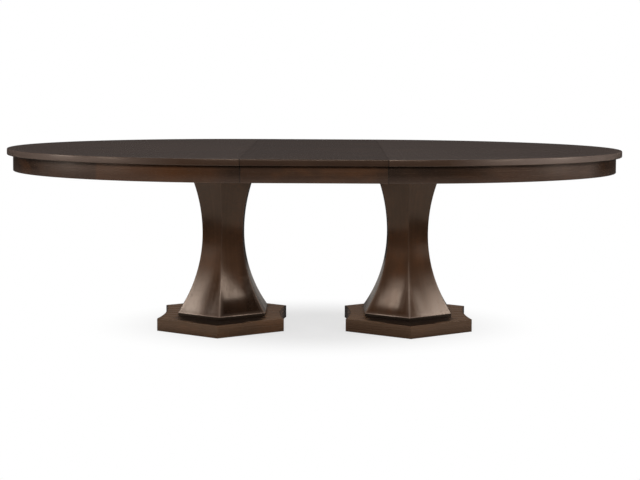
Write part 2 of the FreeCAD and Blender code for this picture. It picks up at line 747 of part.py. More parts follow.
def apron_half(side, way):
    """Bent apron under one half, and the glue blocks behind it."""
    middle = f"{way} * seam"
    outer = oval(f"apron_outer_{side}", middle, "apron_inset", "apron_bottom", "apron_height")
    inner = oval(f"apron_inner_{side}", middle, "apron_back", "apron_bottom", "apron_height")
    keep = half_space(f"apron_keep_{side}", way, "apron_bottom", "apron_height")
    ring = cut(f"apron_ring_{side}", outer, inner)
    node(common(f"apron_{side}", ring, keep), f"apron_{side}")
    bottom = "underside - glue_block_height"
    core = oval(f"block_outer_{side}", middle, "apron_back", bottom, "glue_block_height")
    hollow = "apron_back + glue_block_depth"
    hole = oval(f"block_inner_{side}", middle, hollow, bottom, "glue_block_height")
    band = cut(f"block_band_{side}", core, hole)
    blocks = []
    long, wide = "(half_length - apron_back)", "apron_face"
    for k, angle in enumerate(GLUE_BLOCK_ANGLES):
        x = f"{way} * (seam + {long} * cos({angle}))"
        y = f"{wide} * sin({angle})"
        lean = f"{way} * atan2({long} * sin({angle}), {wide} * cos({angle}))"
        size = ("4 * glue_block_depth", "glue_block_length", "glue_block_height")
        tool = doc.addObject("Part::Box", f"block_tool_{side}_{k + 1}")
        bind(tool, Length=size[0], Width=size[1], Height=size[2])
        shift = (f"({size[0]}) / 2", f"({size[1]}) / 2")
        place(
            tool,
            f"{x} - {shift[0]} * cos({lean}) + {shift[1]} * sin({lean})",
            f"{y} - {shift[0]} * sin({lean}) - {shift[1]} * cos({lean})",
            bottom,
            lean,
        )
        blocks.append(common(f"glue_block_{side}_{k + 1}", band, tool))
    node(group(f"glue_blocks_{side}", blocks), f"glue_blocks_{side}")


def leaf():
    """Leaf with its two apron boards and the battens that keep it flat and in line."""
    board = box("leaf_board", ("0", "0", "underside"), ("leaf_width", "top_depth", "top_thickness"))
    rim = value("half_depth")

    def on_rim(edge):
        limits = edge.BoundBox
        return limits.YLength < FLAT and abs(abs(limits.YMin) - rim) < FLAT and limits.ZLength < FLAT

    node(rounded("top_leaf", board, "top_edge_round", on_rim), "top_leaf")
    battens = []
    inner = "slide_back + leaf_batten_clearance"
    outer = "apron_face"
    for row, across in ROWS.items():
        y = f"{across} * (half_depth - apron_inset - apron_thickness / 2)"
        size = ("leaf_width", "apron_thickness", "apron_height")
        node(box(f"apron_leaf_{row}", ("0", y, "apron_bottom"), size), f"apron_leaf_{row}")
        for end, along in SIDES.items():
            x = f"{along} * (leaf_edge - leaf_batten_setback)"
            middle = (x, f"{across} * ({inner} + {outer}) / 2", "underside - leaf_batten_height")
            size = ("leaf_batten_width", f"{outer} - ({inner})", "leaf_batten_height")
            battens.append(box(f"leaf_batten_{row}_{end}", middle, size))
    node(group("leaf_battens", battens), "leaf_battens")


# Latches


def latch_parts():
    """Latch plates under the halves, latch arms on them, and keepers with pegs under the leaf."""
    keepers = []
    for side, way in SIDES.items():
        plates = []
        for row, across in ROWS.items():
            y = f"{across} * latch_row"
            plates.append(latch_plate(f"{side}_{row}", f"{way} * latch_place", y))
            latch_arm(f"{side}_{row}", f"{way} * latch_place", y, across, way * across)
            keepers.append(keeper(f"{side}_{row}", f"{way} * peg_place", y))
        node(group(f"latch_plates_{side}", plates), f"latch_plates_{side}")
    node(group("leaf_keepers", keepers), "leaf_keepers")


def latch_plate(name, x, y):
    """Plate with the pivot that an arm turns on, and its rivet head."""
    size = ("latch_plate_width", "latch_plate_length", "latch_plate_thickness")
    plate = box(f"latch_base_{name}", (x, y, "latch_plate_bottom"), size)
    foot = "latch_arm_bottom - latch_gap - latch_rivet_height"
    pin = cylinder(f"latch_pivot_{name}", (x, y, foot), "latch_pin_radius", f"underside - ({foot})")
    head = cylinder(f"latch_rivet_{name}", (x, y, foot), "latch_rivet_radius", "latch_rivet_height")
    return fuse(f"latch_plate_{name}", [plate, pin, head])


def latch_arm(name, x, y, across, sense):
    """Hooked arm, at rest along the seam. Its notch opens the way that it swings."""
    piece = body(f"latch_arm_{name}", x, y, "latch_arm_bottom", str(90 * across))
    edge = "latch_arm_width / 2"
    corners = [
        (f"-1 * {edge}", f"{-sense} * {edge}"),
        ("latch_reach + latch_tip", f"{-sense} * {edge}"),
        ("latch_reach + latch_tip", f"{sense} * {edge}"),
        ("latch_reach + latch_notch / 2", f"{sense} * {edge}"),
        ("latch_reach + latch_notch / 2", f"{-sense} * latch_notch / 2"),
        ("latch_reach - latch_notch / 2", f"{-sense} * latch_notch / 2"),
        ("latch_reach - latch_notch / 2", f"{sense} * {edge}"),
        (f"-1 * {edge}", f"{sense} * {edge}"),
    ]
    pad(piece, outline(piece, "XY_Plane", corners), "latch_arm_thickness")
    pocket_through(piece, round_sketch(piece, "latch_pin_radius + latch_pin_clearance"))
    node(piece, f"latch_arm_{name}")


def keeper(name, x, y):
    """Plate under the leaf with the peg that a latch hooks."""
    size = ("latch_plate_width", "latch_plate_length", "latch_plate_thickness")
    plate = box(f"keeper_plate_{name}", (x, y, "latch_plate_bottom"), size)
    peg = cylinder(
        f"keeper_peg_{name}", (x, y, "latch_plate_bottom - peg_length"), "latch_pin_radius", "peg_length"
    )
    return fuse(f"keeper_{name}", [plate, peg])


def build():
    """Make every sub-part."""
    for side, way in SIDES.items():
        x = f"{way} * pedestal_place"
        plinth(side, x)
        collar(side, x)
        for number in range(HEXAGON):
            stave(side, number, x)
        tie_rod(side, x)
        floor_glides(side, x)
        bearer(side, x)
        for row, across in ROWS.items():
            slide(side, way, row, across)
        slide_screws(side, way)
        rack(side, way)
        rack_batten(side, way)
        top_half(side, way)
        apron_half(side, way)
    for row, across in ROWS.items():
        runner(row, across)
    crossbar()
    pinion()
    leaf()
    latch_parts()
    doc.recompute()


def check():
    """Stop if any object failed, or any sub-part is empty or not valid."""
    failed = [o.Label for o in doc.Objects if {"Invalid", "Error"} & set(o.State)]
    failed += [n.Label for n in nodes if n.Shape.isNull() or not n.Shape.isValid() or not n.Shape.Solids]
    if failed:
        raise RuntimeError("these objects failed: " + ", ".join(failed))


def write():
    """Write each sub-part to its own file."""
    os.makedirs("parts", exist_ok=True)
    for piece in nodes:
        piece.Shape.exportStep(os.path.join("parts", f"{piece.Label}.step"))
    solids = sum(len(piece.Shape.Solids) for piece in nodes)
    print(f"{len(nodes)} sub-parts, {solids} solids")


build()
check()
write()
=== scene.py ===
"""Looks of the double pedestal dining table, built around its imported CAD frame.

Metres throughout, in the frame of the CAD: the origin is on the floor under the middle of the top,
X runs along the table, the front looks to -Y and Z points up.
"""

import logging
import math
from dataclasses import dataclass, replace
from enum import Enum

import bpy
import numpy as np
from mathutils import Matrix, Quaternion, Vector

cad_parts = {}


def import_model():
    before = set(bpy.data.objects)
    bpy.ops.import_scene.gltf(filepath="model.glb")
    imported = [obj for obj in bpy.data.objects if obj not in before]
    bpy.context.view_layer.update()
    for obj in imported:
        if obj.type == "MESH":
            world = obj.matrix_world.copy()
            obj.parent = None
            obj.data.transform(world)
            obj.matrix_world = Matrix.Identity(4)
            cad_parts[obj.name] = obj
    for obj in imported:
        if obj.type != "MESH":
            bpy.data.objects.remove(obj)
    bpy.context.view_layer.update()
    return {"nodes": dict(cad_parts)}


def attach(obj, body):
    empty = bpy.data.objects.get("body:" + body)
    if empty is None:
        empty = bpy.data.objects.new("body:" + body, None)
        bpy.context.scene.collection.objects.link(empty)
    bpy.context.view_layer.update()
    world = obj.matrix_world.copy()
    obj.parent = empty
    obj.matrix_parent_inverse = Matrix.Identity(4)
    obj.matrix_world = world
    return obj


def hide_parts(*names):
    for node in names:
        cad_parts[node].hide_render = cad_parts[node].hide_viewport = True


LOG = logging.getLogger("table")
MM = 0.001
HEXAGON = 6
TAN30 = math.tan(math.radians(30))
COS30 = math.cos(math.radians(30))
SHARP = math.radians(36)
# tone of dark stains at joints, and of the painted shade in the plinth's hollows
STAIN_AND_SHADE_TONE = -0.9
Colour = tuple[float, float, float]
Place = tuple[float, float, float]
Link = bpy.types.NodeSocket
Stops = tuple[tuple[float, ...], tuple[float, ...]]


class Grain(Enum):
    """Which way the wood's grain runs: by the piece's own chart, or turned from X about Z by an angle."""

    CHART = None
    ALONG_X = 0.0
    ALONG_Y = -math.pi / 2


class Named(Enum):
    """A choice whose name stands inside the names of nodes and bodies."""

    @property
    def word(self) -> str:
        """The name in small letters."""
        return self.name.lower()


class Side(Named):
    """One end of the table, with the sign of X there."""

    LEFT = -1
    RIGHT = 1


class Row(Named):
    """Front or back, with the sign of Y there."""

    FRONT = -1
    BACK = 1


# Shader maths


class Value:
    """A shader socket that carries a number, with its sums written as Python operators."""

    def __init__(self, graph: "Graph", socket: Link) -> None:
        """Wrap a socket of a graph."""
        self.graph = graph
        self.socket = socket

    def __add__(self, other: "Value | float") -> "Value":
        """Sum."""
        return self.graph.sum("ADD", self, other)

    def __sub__(self, other: "Value | float") -> "Value":
        """Difference."""
        return self.graph.sum("SUBTRACT", self, other)

    def __rsub__(self, other: float) -> "Value":
        """Difference, with the number first."""
        return self.graph.sum("SUBTRACT", other, self)

    def __mul__(self, other: "Value | float") -> "Value":
        """Product."""
        return self.graph.sum("MULTIPLY", self, other)

    __radd__ = __add__
    __rmul__ = __mul__

    def most(self, other: "Value | float") -> "Value":
        """The larger of two numbers."""
        return self.graph.sum("MAXIMUM", self, other)

    def under(self, level: float, blur: float) -> "Value":
        """How far the number lies under a level, rounded off over a stretch, and 0 above it."""
        return self.graph.sum("SMOOTH_MAX", level - self, 0.0, blur)

    def step(self, low: float, high: float) -> "Value":
        """A smooth step from 0 at low to 1 at high."""
        node = self.graph.node(
            "ShaderNodeMapRange",
            {"interpolation_type": "SMOOTHSTEP"},
            {"Value": self, "From Min": low, "From Max": high},
        )
        return Value(self.graph, node.outputs["Result"])

    def zone(self, rise: tuple[float, float], fall: tuple[float, float]) -> "Value":
        """1 between a rising and a falling smooth step, and 0 outside them."""
        return self.step(*rise) - self.step(*fall)


class Graph:
    """A node tree under construction."""

    def __init__(self, tree: bpy.types.NodeTree) -> None:
        """Empty a node tree and start on it."""
        self.tree = tree
        tree.nodes.clear()

    def node(self, kind: str, settings: dict | None = None, sockets: dict | None = None) -> bpy.types.Node:
        """Add one node.

        Args:
            kind: the node's type.
            settings: properties, which are set first.
            sockets: values, colours or links, by the input's name or number.

        Returns:
            The node.
        """
        made = self.tree.nodes.new(kind)
        for name, setting in (settings or {}).items():
            setattr(made, name, setting)
        for key, given in (sockets or {}).items():
            source = given.socket if isinstance(given, Value) else given
            if isinstance(source, Link):
                self.tree.links.new(source, made.inputs[key])
            else:
                made.inputs[key].default_value = source
        return made

    def sum(self, operation: str, *terms: Value | float) -> Value:
        """One Math node on numbers."""
        made = self.node("ShaderNodeMath", {"operation": operation}, dict(enumerate(terms)))
        return Value(self, made.outputs[0])

    def blend(self, first: object, second: object, factor: Value | float) -> Link:
        """Mix two colours.

        Args:
            first: colour or link at factor 0.
            second: colour or link at factor 1.
            factor: the share of the second.

        Returns:
            The mixed colour's socket.
        """
        rgba = [(*c, 1.0) if isinstance(c, tuple) else c for c in (first, second)]
        settings = {"data_type": "RGBA", "clamp_factor": True}
        made = self.node("ShaderNodeMix", settings, {0: factor, 6: rgba[0], 7: rgba[1]})
        return made.outputs[2]

    def noise(self, place: Link, stretch: Place, detail: float) -> Value:
        """Cloudy noise, finer along each axis by its stretch.

        Args:
            place: coordinates in metres.
            stretch: clouds per metre along the three axes.
            detail: how many finer layers are added.

        Returns:
            Noise about 0.5.
        """
        moved = self.node("ShaderNodeMapping", None, {"Vector": place, "Scale": stretch})
        sockets = {"Vector": moved.outputs[0], "Scale": 1.0, "Detail": detail, "Roughness": 0.55}
        return Value(self, self.node("ShaderNodeTexNoise", None, sockets).outputs["Fac"])

    def place(self) -> Link:
        """The piece's own coordinates at rest, in metres."""
        return self.node("ShaderNodeTexCoord").outputs["Object"]

    def part(self, vector: Link, axis: str) -> Value:
        """A vector's X, Y or Z."""
        return Value(self, self.node("ShaderNodeSeparateXYZ", None, {0: vector}).outputs[axis])

    def ray(self, kind: str) -> Value:
        """1 for rays of one kind, such as Camera or Glossy, and 0 for others."""
        return Value(self, self.node("ShaderNodeLightPath").outputs[f"Is {kind} Ray"])

    def attribute(self, name: str) -> Value:
        """A number stored on the mesh's points."""
        return Value(self, self.node("ShaderNodeAttribute", {"attribute_name": name}).outputs["Fac"])

    def surface(self, shader: Link) -> None:
        """End the tree in a surface."""
        self.node("ShaderNodeOutputMaterial", None, {"Surface": shader})

    def principled(self, sockets: dict) -> None:
        """End the tree in one principled surface."""
        self.surface(self.node("ShaderNodeBsdfPrincipled", None, sockets).outputs[0])

    def bump(self, height: Value, strength: float, distance: float, **below: object) -> Link:
        """A normal with relief on it, its distance in metres, laid on the Normal below if one is given."""
        sockets = {"Strength": strength, "Distance": distance, "Height": height, **below}
        return self.node("ShaderNodeBump", None, sockets).outputs[0]


# Finishes


def new_material(name: str) -> tuple[bpy.types.Material, Graph]:
    """A new material and its empty graph."""
    material = bpy.data.materials.new(name)
    material.use_nodes = True
    return material, Graph(material.node_tree)


@dataclass(frozen=True)
class WoodFinish:
    """Stained or bare wood under lacquer: streaked, mottled and pored along its grain.

    The noises are clouds per metre along and across the grain. A piece's tone warms the colour above
    0 and darkens it to the shadow below 0, for stains and for painted shade. Its wear brings in the
    edge colour, for real wear and for painted highlights and sheen. lean tilts the normals towards the
    foot under lean_height, and ripple is the depth of waves in the lacquer.
    """

    name: str
    slot: str
    dark: Colour
    middle: Colour
    warm: Colour
    edge: Colour
    roughness: float
    reflectance: float = 0.5
    warmth: float = 0.5
    grain: Grain = Grain.CHART
    wear_and_sheen: float = 0.4
    ripple: float = 0.0
    lean: float = 0.0
    lean_height: float = 0.30
    lean_blur: float = 0.06
    shadow: Colour | None = None
    gloss: Colour = (1.0, 0.78, 0.62)
    drift: Place = (0.8, 4.5, 4.5)
    mottle: Place = (7.0, 11.0, 11.0)
    streak: Place = (1.7, 62.0, 62.0)
    pores: Place = (48.0, 950.0, 950.0)
    rubbed: Place = (6.5, 10.0, 10.0)
    spread: float = 0.16
    matt_shade: tuple[float, float] = (0.8, 0.9)

    def place(self, graph: Graph) -> Link:
        """Coordinates with the grain along the first axis, in metres."""
        coordinates = graph.node("ShaderNodeTexCoord").outputs
        if self.grain is Grain.CHART:
            return coordinates["UV"]
        sockets = {"Vector": coordinates["Object"], "Rotation": (0.0, 0.0, self.grain.value)}
        return graph.node("ShaderNodeMapping", None, sockets).outputs[0]

    def material(self) -> bpy.types.Material:
        """Colour, roughness and relief from layers of noise drawn out along the grain."""
        material, graph = new_material(self.name)
        place = self.place(graph)
        drift = graph.noise(place, self.drift, 3.0)
        mottle = graph.noise(place, self.mottle, 2.0)
        streak = graph.noise(place, self.streak, 4.0)
        pores = graph.noise(place, self.pores, 1.0).step(0.62, 0.74)
        mixed = drift * 0.5 + mottle * 0.2 + streak * 0.3
        colour = graph.blend(self.dark, self.middle, mixed.step(0.5 - self.spread, 0.5 + self.spread))
        blush = mottle.step(0.47, 0.66) * drift.step(0.38, 0.62) * self.warmth
        colour = graph.blend(colour, self.warm, blush)
        tone = graph.attribute("tone")
        shade = (tone * -1.0).most(0.0)
        colour = graph.blend(colour, self.warm, tone.most(0.0))
        colour = graph.blend(colour, self.shadow or self.dark, shade)
        colour = graph.blend(colour, self.dark, pores * 0.5)
        colour = graph.blend(colour, self.edge, graph.attribute("wear_and_sheen") * self.wear_and_sheen)
        waves = graph.noise(place, self.rubbed, 0.0) * self.ripple
        if self.lean:
            low = graph.part(graph.place(), "Z").under(self.lean_height, self.lean_blur)
            waves = waves - low * self.lean
        leaning = graph.bump(waves, 1.0, 1.0)
        matt = pores * 0.08 + shade.step(*self.matt_shade) * 0.4
        graph.principled(
            {
                "Base Color": colour,
                "Roughness": self.roughness + (streak - 0.5) * 0.16 + matt,
                "Specular IOR Level": self.reflectance,
                "Specular Tint": (*self.gloss, 1.0),
                "Normal": graph.bump(streak * 0.5 - pores * 0.8, 0.12, 0.4 * MM, Normal=leaning),
            }
        )
        return material


@dataclass(frozen=True)
class MetalFinish:
    """Zinc plated steel with a cloudy bloom."""

    name: str
    slot: str
    bright: Colour
    dull: Colour
    bloom: Place = (160.0, 160.0, 160.0)
    fine: Place = (900.0, 900.0, 900.0)

    def material(self) -> bpy.types.Material:
        """A metal whose colour and roughness change in small clouds."""
        material, graph = new_material(self.name)
        bloom = graph.noise(graph.place(), self.bloom, 3.0)
        fine = graph.noise(graph.place(), self.fine, 1.0)
        graph.principled(
            {
                "Base Color": graph.blend(self.dull, self.bright, bloom.step(0.35, 0.65)),
                "Metallic": 1.0,
                "Roughness": 0.52 - bloom * 0.3,
                "Normal": graph.bump(fine, 0.08, 0.2 * MM),
            }
        )
        return material


@dataclass(frozen=True)
class NylonFinish:
    """Moulded nylon with a fine matt texture."""

    name: str
    slot: str
    colour: Colour
    scuffed: Colour
    scuffs: Place = (90.0, 90.0, 90.0)
    fine: Place = (1400.0, 1400.0, 1400.0)

    def material(self) -> bpy.types.Material:
        """A plastic with scuffs and a fine moulded grain."""
        material, graph = new_material(self.name)
        scuff = graph.noise(graph.place(), self.scuffs, 3.0).step(0.52, 0.7)
        fine = graph.noise(graph.place(), self.fine, 1.0)
        graph.principled(
            {
                "Base Color": graph.blend(self.colour, self.scuffed, scuff),
                "Roughness": 0.42 + scuff * 0.2,
                "Normal": graph.bump(fine, 0.15, 0.2 * MM),
            }
        )
        return material


TOP_FINISH = WoodFinish(
    name="top_lacquer",
    slot="top_veneer",
    dark=(0.034, 0.0188, 0.0121),
    middle=(0.055, 0.0306, 0.0198),
    warm=(0.078, 0.042, 0.0267),
    # edge colour, which here paints the rim's sheen
    edge=(0.200, 0.150, 0.125),
    roughness=0.24,
    reflectance=0.24,
    warmth=0.4,
    shadow=(0.008, 0.005, 0.004),
)
HALF_FINISH = replace(
    TOP_FINISH,
    name="top_lacquer_halves",
    reflectance=0.5,
    dark=(0.040, 0.0222, 0.0142),
    middle=(0.062, 0.0342, 0.0220),
    warm=(0.085, 0.0455, 0.0290),
)
APRON_FINISH = WoodFinish(
    name="apron_lacquer",
    slot="apron_veneer",
    dark=(0.018, 0.0095, 0.006),
    middle=(0.042, 0.021, 0.012),
    warm=(0.080, 0.032, 0.013),
    # edge colour of the worn lower edges and of the painted sheen
    edge=(0.130, 0.092, 0.074),
    roughness=0.26,
    shadow=(0.010, 0.006, 0.004),
)
COLUMN_FINISH = WoodFinish(
    name="column_lacquer",
    slot="pedestal_wood",
    dark=(0.044, 0.0205, 0.0102),
    middle=(0.070, 0.0330, 0.0170),
    warm=(0.094, 0.0385, 0.0165),
    # edge colour of worn arrises and of the painted highlights on the lip and low arrises
    edge=(0.220, 0.160, 0.125),
    roughness=0.13,
    ripple=0.002,
    lean=0.1,
    shadow=(0.006, 0.004, 0.003),
)
COLUMN_FINISHES = {
    Side.LEFT: COLUMN_FINISH,
    Side.RIGHT: replace(COLUMN_FINISH, name="column_lacquer_right", lean=0.15),
}
PLINTH_FINISH = WoodFinish(
    name="plinth_lacquer",
    slot="pedestal_wood",
    dark=(0.039, 0.0200, 0.0112),
    middle=(0.060, 0.0320, 0.0180),
    warm=(0.093, 0.039, 0.0163),
    # edge colour of worn edges and of the painted light on the ledge beside the foot
    edge=(0.330, 0.195, 0.112),
    roughness=0.27,
    wear_and_sheen=0.8,
    shadow=(0.008, 0.005, 0.004),
)
COLLAR_FINISH = WoodFinish(
    name="collar_lacquer",
    slot="pedestal_wood",
    dark=(0.010, 0.0065, 0.0045),
    middle=(0.018, 0.011, 0.007),
    warm=(0.026, 0.014, 0.008),
    edge=(0.030, 0.020, 0.015),
    roughness=0.16,
    reflectance=0.25,
    warmth=0.3,
)
BEECH_LONG = WoodFinish(
    name="beech_long",
    slot="beech",
    dark=(0.34, 0.215, 0.125),
    middle=(0.47, 0.32, 0.20),
    warm=(0.50, 0.31, 0.18),
    edge=(0.50, 0.36, 0.24),
    roughness=0.5,
    reflectance=0.35,
    warmth=0.4,
    grain=Grain.ALONG_X,
    gloss=(1.0, 1.0, 1.0),
)
BEECH_CROSS = replace(BEECH_LONG, name="beech_cross", grain=Grain.ALONG_Y)
ZINC = MetalFinish("zinc_plate", "zinc_steel", (0.62, 0.63, 0.65), (0.42, 0.43, 0.46))
NYLON = NylonFinish("nylon", "nylon", (0.035, 0.034, 0.033), (0.085, 0.083, 0.08))

Finish = WoodFinish | MetalFinish | NylonFinish
made_materials: dict[str, bpy.types.Material] = {}


def material_of(finish: Finish) -> bpy.types.Material:
    """The finish's material, made on first use."""
    if finish.name not in made_materials:
        made_materials[finish.name] = finish.material()
    return made_materials[finish.name]


# Meshes


@dataclass
class Loft:
    """A closed shell: rings of points one after another, with a flat cap on each end.

    rings holds places, as (rings, points, 3). chart holds the grain's coordinates in metres, as
    (rings, points + 1, 2), where the last column closes the ring. wear and tone are numbers for each
    point: wear for real wear and painted highlights and sheen, tone for stains and painted shade. Rows
    named in flat_rows take X and Y as their chart, as the caps do.
    """

    rings: np.ndarray
    chart: np.ndarray
    wear_and_sheen: np.ndarray
    tone: np.ndarray
    flat_rows: frozenset[int] = frozenset()

    def volume(self) -> float:
        """Signed volume about the middle, by the sum of a . (b x c) over the triangles of rows and caps."""
        p = self.rings - self.rings.reshape(-1, 3).mean(axis=0)
        first, last = (np.broadcast_to(ring.mean(axis=0), (1, *ring.shape)) for ring in (p[0], p[-1]))
        p = np.concatenate([first, p, last])
        a, d = p[:-1], p[1:]
        b, c = np.roll(a, -1, axis=1), np.roll(d, -1, axis=1)
        return float(np.sum(a * (np.cross(b, c) + np.cross(c, d)))) / 6

    def mesh(self, name: str) -> bpy.types.Mesh:
        """The shell as a mesh with its chart, its wear with painted highlights and sheen, and its tone.

        Args:
            name: the mesh's name.

        Returns:
            The mesh, with its faces outwards and its edges sharp where they turn sharply.
        """
        rows, points = self.rings.shape[:2]
        index = np.arange(rows * points).reshape(rows, points)
        corner = [index[:-1], np.roll(index[:-1], -1, 1), np.roll(index[1:], -1, 1), index[1:]]
        quads = np.stack(corner, axis=-1)
        chart = np.stack(
            [self.chart[:-1, :-1], self.chart[:-1, 1:], self.chart[1:, 1:], self.chart[1:, :-1]], axis=2
        )
        flat = self.rings.reshape(-1, 3)[:, :2]
        for row in self.flat_rows:
            chart[row] = flat[quads[row]]
        caps = [index[0][::-1], index[-1]]
        if self.volume() < 0:
            quads, chart = quads[..., ::-1], chart[:, :, ::-1]
            caps = [cap[::-1] for cap in caps]
        mesh = bpy.data.meshes.new(name)
        faces = quads.reshape(-1, 4).tolist() + [cap.tolist() for cap in caps]
        mesh.from_pydata(self.rings.reshape(-1, 3).tolist(), [], faces)
        loops = np.concatenate([chart.reshape(-1, 2)] + [flat[cap] for cap in caps])
        layer = mesh.uv_layers.new(name="grain")
        layer.data.foreach_set("uv", loops.astype(np.float32).ravel())
        for label, numbers in (("wear_and_sheen", self.wear_and_sheen), ("tone", self.tone)):
            store = mesh.attributes.new(label, "FLOAT", "POINT")
            store.data.foreach_set("value", numbers.astype(np.float32).ravel())
        mesh.polygons.foreach_set("use_smooth", np.ones(len(mesh.polygons), bool))
        mesh.update()
        mesh.set_sharp_from_angle(angle=SHARP)
        return mesh


def placed(name: str, data: bpy.types.ID) -> bpy.types.Object:
    """A new object in the scene that shows a mesh, a lamp or a camera."""
    made = bpy.data.objects.new(name, data)
    bpy.context.scene.collection.objects.link(made)
    return made


def add_piece(name: str, loft: Loft, finish: Finish, body: str, *nodes: str) -> None:
    """Put a shell in the scene in place of CAD nodes.

    Args:
        name: the piece's name.
        loft: its shell.
        finish: its finish.
        body: the CAD body that it rides on.
        nodes: the CAD nodes that it stands for.
    """
    piece = placed(name, loft.mesh(name))
    piece.data.materials.append(material_of(finish))
    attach(piece, body)
    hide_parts(*nodes)
    LOG.info("%s: %d faces on %s", name, len(piece.data.polygons), body)


def closed_arc(points: np.ndarray) -> np.ndarray:
    """Length along a closed line of points, from 0, with the closing stretch at the end."""
    steps = np.linalg.norm(np.diff(np.concatenate([points, points[:1]]), axis=0), axis=1)
    return np.concatenate([[0.0], np.cumsum(steps)])


def arc(radius: float, angle: np.ndarray) -> np.ndarray:
    """Points (x, y) of an arc about the origin, r (cos a, sin a)."""
    return radius * np.stack([np.cos(angle), np.sin(angle)], axis=1)


def arc_radius(reach: float, depth: float) -> float:
    """Radius of the arc that falls by a depth over a reach, (r^2 + d^2) / 2 d."""
    return (reach**2 + depth**2) / (2 * depth)


def rounding(radius: float, steps: int) -> np.ndarray:
    """Rows of a quarter circle from its corner, r (1 - cos a, 1 - sin a)."""
    return radius * (1 - arc(1.0, np.linspace(0.0, math.pi / 2, steps + 1)))


def raised(flat: np.ndarray, heights: np.ndarray) -> np.ndarray:
    """Rows of (x, y) lifted to one height each."""
    return np.concatenate([flat, np.broadcast_to(heights[:, None, None], (*flat.shape[:2], 1))], axis=2)


def facing_rows(inset: np.ndarray, least: float) -> frozenset[int]:
    """Rows of faces that reach further in than a least inset, and so face up or down."""
    return frozenset(np.flatnonzero(np.maximum(inset[:-1], inset[1:]) > least).tolist())


def edge_profile(low: float, high: float, round_low: float, round_high: float, steps: int = 6) -> np.ndarray:
    """Inset and height round an edge: in at the bottom, up a side, in at the top.

    Each rounding is a quarter circle, so its inset is r (1 - sin a) and its height r (1 - cos a).

    Args:
        low: height of the underside.
        high: height of the upper face.
        round_low: radius at the underside.
        round_high: radius at the upper face.
        steps: stretches in each rounding.

    Returns:
        Rows of (inset, height), with one more row inside each flat face.
    """
    bottom = rounding(round_low, steps)[:, ::-1] + (0.0, low)
    top = rounding(round_high, steps) * (1, -1) + (0.0, high)
    inside = np.array([[round_low + 3 * MM, low]])
    last = np.array([[round_high + 3 * MM, high], [round_high + 40 * MM, high]])
    return np.concatenate([inside, bottom, top, last])


# The top


@dataclass
class Top:
    """The oval top: two halves and the leaf between them."""

    height: float = 762 * MM
    thickness: float = 26 * MM
    half_depth: float = 686 * MM
    half_length: float = 1022.5 * MM
    leaf_half: float = 279.5 * MM
    seam: float = 280 * MM
    edge_round: float = 4 * MM
    seam_ease: float = 0.3 * MM
    seam_draw: float = 0.02
    seam_stain: float = 2.5 * MM
    # painted sheen on the rim's upper edge by X: none in the middle, most at the two ends
    rim_painted_sheen: Stops = ((-0.85, -0.5, 0.5, 0.85), (1.2, 0.0, 0.0, 2.0))
    steps: int = 200
    seam_points: int = 26

    def shell(self, flat: np.ndarray, profile: np.ndarray) -> Loft:
        """Outlines at each row of an edge profile, stacked into a shell.

        Args:
            flat: one closed line of (x, y) for each row.
            profile: rows of (inset, height).

        Returns:
            The shell, charted along its rim on the side and by X and Y on its faces.
        """
        inset, heights = profile[:, 0], profile[:, 1]
        rim = closed_arc(flat[len(flat) // 2])
        chart = np.stack(np.broadcast_arrays(rim[None, :], (heights - heights[0])[:, None]), axis=2)
        upper = heights > self.height - 0.9 * self.thickness
        worn = np.exp(-((inset / (1.4 * self.edge_round)) ** 2)) * upper
        # the rim's upper edge gets its painted sheen towards the ends
        wear_and_sheen = worn[:, None] * np.interp(flat[..., 0], *self.rim_painted_sheen)
        at_rim = np.abs(flat[..., 1]) > 0.95 * self.half_depth
        at_seam = np.abs(np.abs(flat[..., 0]) - self.seam) < self.seam_stain / 2
        stained = at_rim & at_seam & (inset[:, None] < self.edge_round + MM)
        tone = np.where(stained, STAIN_AND_SHADE_TONE, 0.0)
        return Loft(raised(flat, heights), chart, wear_and_sheen, tone, facing_rows(inset, 0.6 * self.edge_round))

    def profile(self) -> np.ndarray:
        """Section of the rim."""
        low = self.height - self.thickness
        return edge_profile(low, self.height, self.edge_round, self.edge_round)

    def drawn(self, inset: np.ndarray) -> np.ndarray:
        """How far a seam is drawn in at a row of the rim: its ease, and a little more on the faces."""
        return np.minimum(inset, self.seam_ease) + self.seam_draw * inset

    def half(self, side: Side) -> Loft:
        """Half an ellipse closed by its straight seam, x = s + (A - e) cos a, y = (B - e) sin a."""
        near = math.pi / 2 - self.seam_stain / self.half_length
        angle = np.sort(np.append(np.linspace(-math.pi / 2, math.pi / 2, self.steps), (-near, near)))
        across = np.linspace(1.0, -1.0, self.seam_points)[1:-1]
        profile = self.profile()
        inset = profile[:, :1]
        start = self.seam + self.drawn(inset)
        curved = np.maximum(self.seam + (self.half_length - inset) * np.cos(angle), start)
        x = np.concatenate([curved, np.repeat(start, len(across), axis=1)], axis=1)
        y = (self.half_depth - inset) * np.concatenate([np.sin(angle), across])
        return self.shell(np.stack([side.value * x, y], axis=2), profile)

    def leaf(self) -> Loft:
        """A rectangle, eased at its seams and rounded at its two ends."""
        profile = self.profile()
        near = 1 - self.seam_stain / self.leaf_half
        along = np.sort(np.append(np.linspace(-1.0, 1.0, 12)[:-1], (-near, near)))
        across = np.linspace(-1.0, 1.0, self.seam_points)[:-1]
        one, other = np.ones(len(across)), np.ones(len(along))
        unit_x = np.concatenate([along, one, -along, -one])
        unit_y = np.concatenate([-other, across, other, -across])
        inset = profile[:, :1]
        x, y = unit_x * (self.leaf_half - self.drawn(inset)), unit_y * (self.half_depth - inset)
        return self.shell(np.stack([x, y], axis=2), profile)

    def build(self) -> None:
        """Make the three boards."""
        for side in Side:
            body, node = f"{side.word}_half", f"top_{side.word}"
            add_piece(f"top_board_{side.word}", self.half(side), HALF_FINISH, body, node)
        add_piece("leaf_board", self.leaf(), TOP_FINISH, "leaf", "top_leaf")
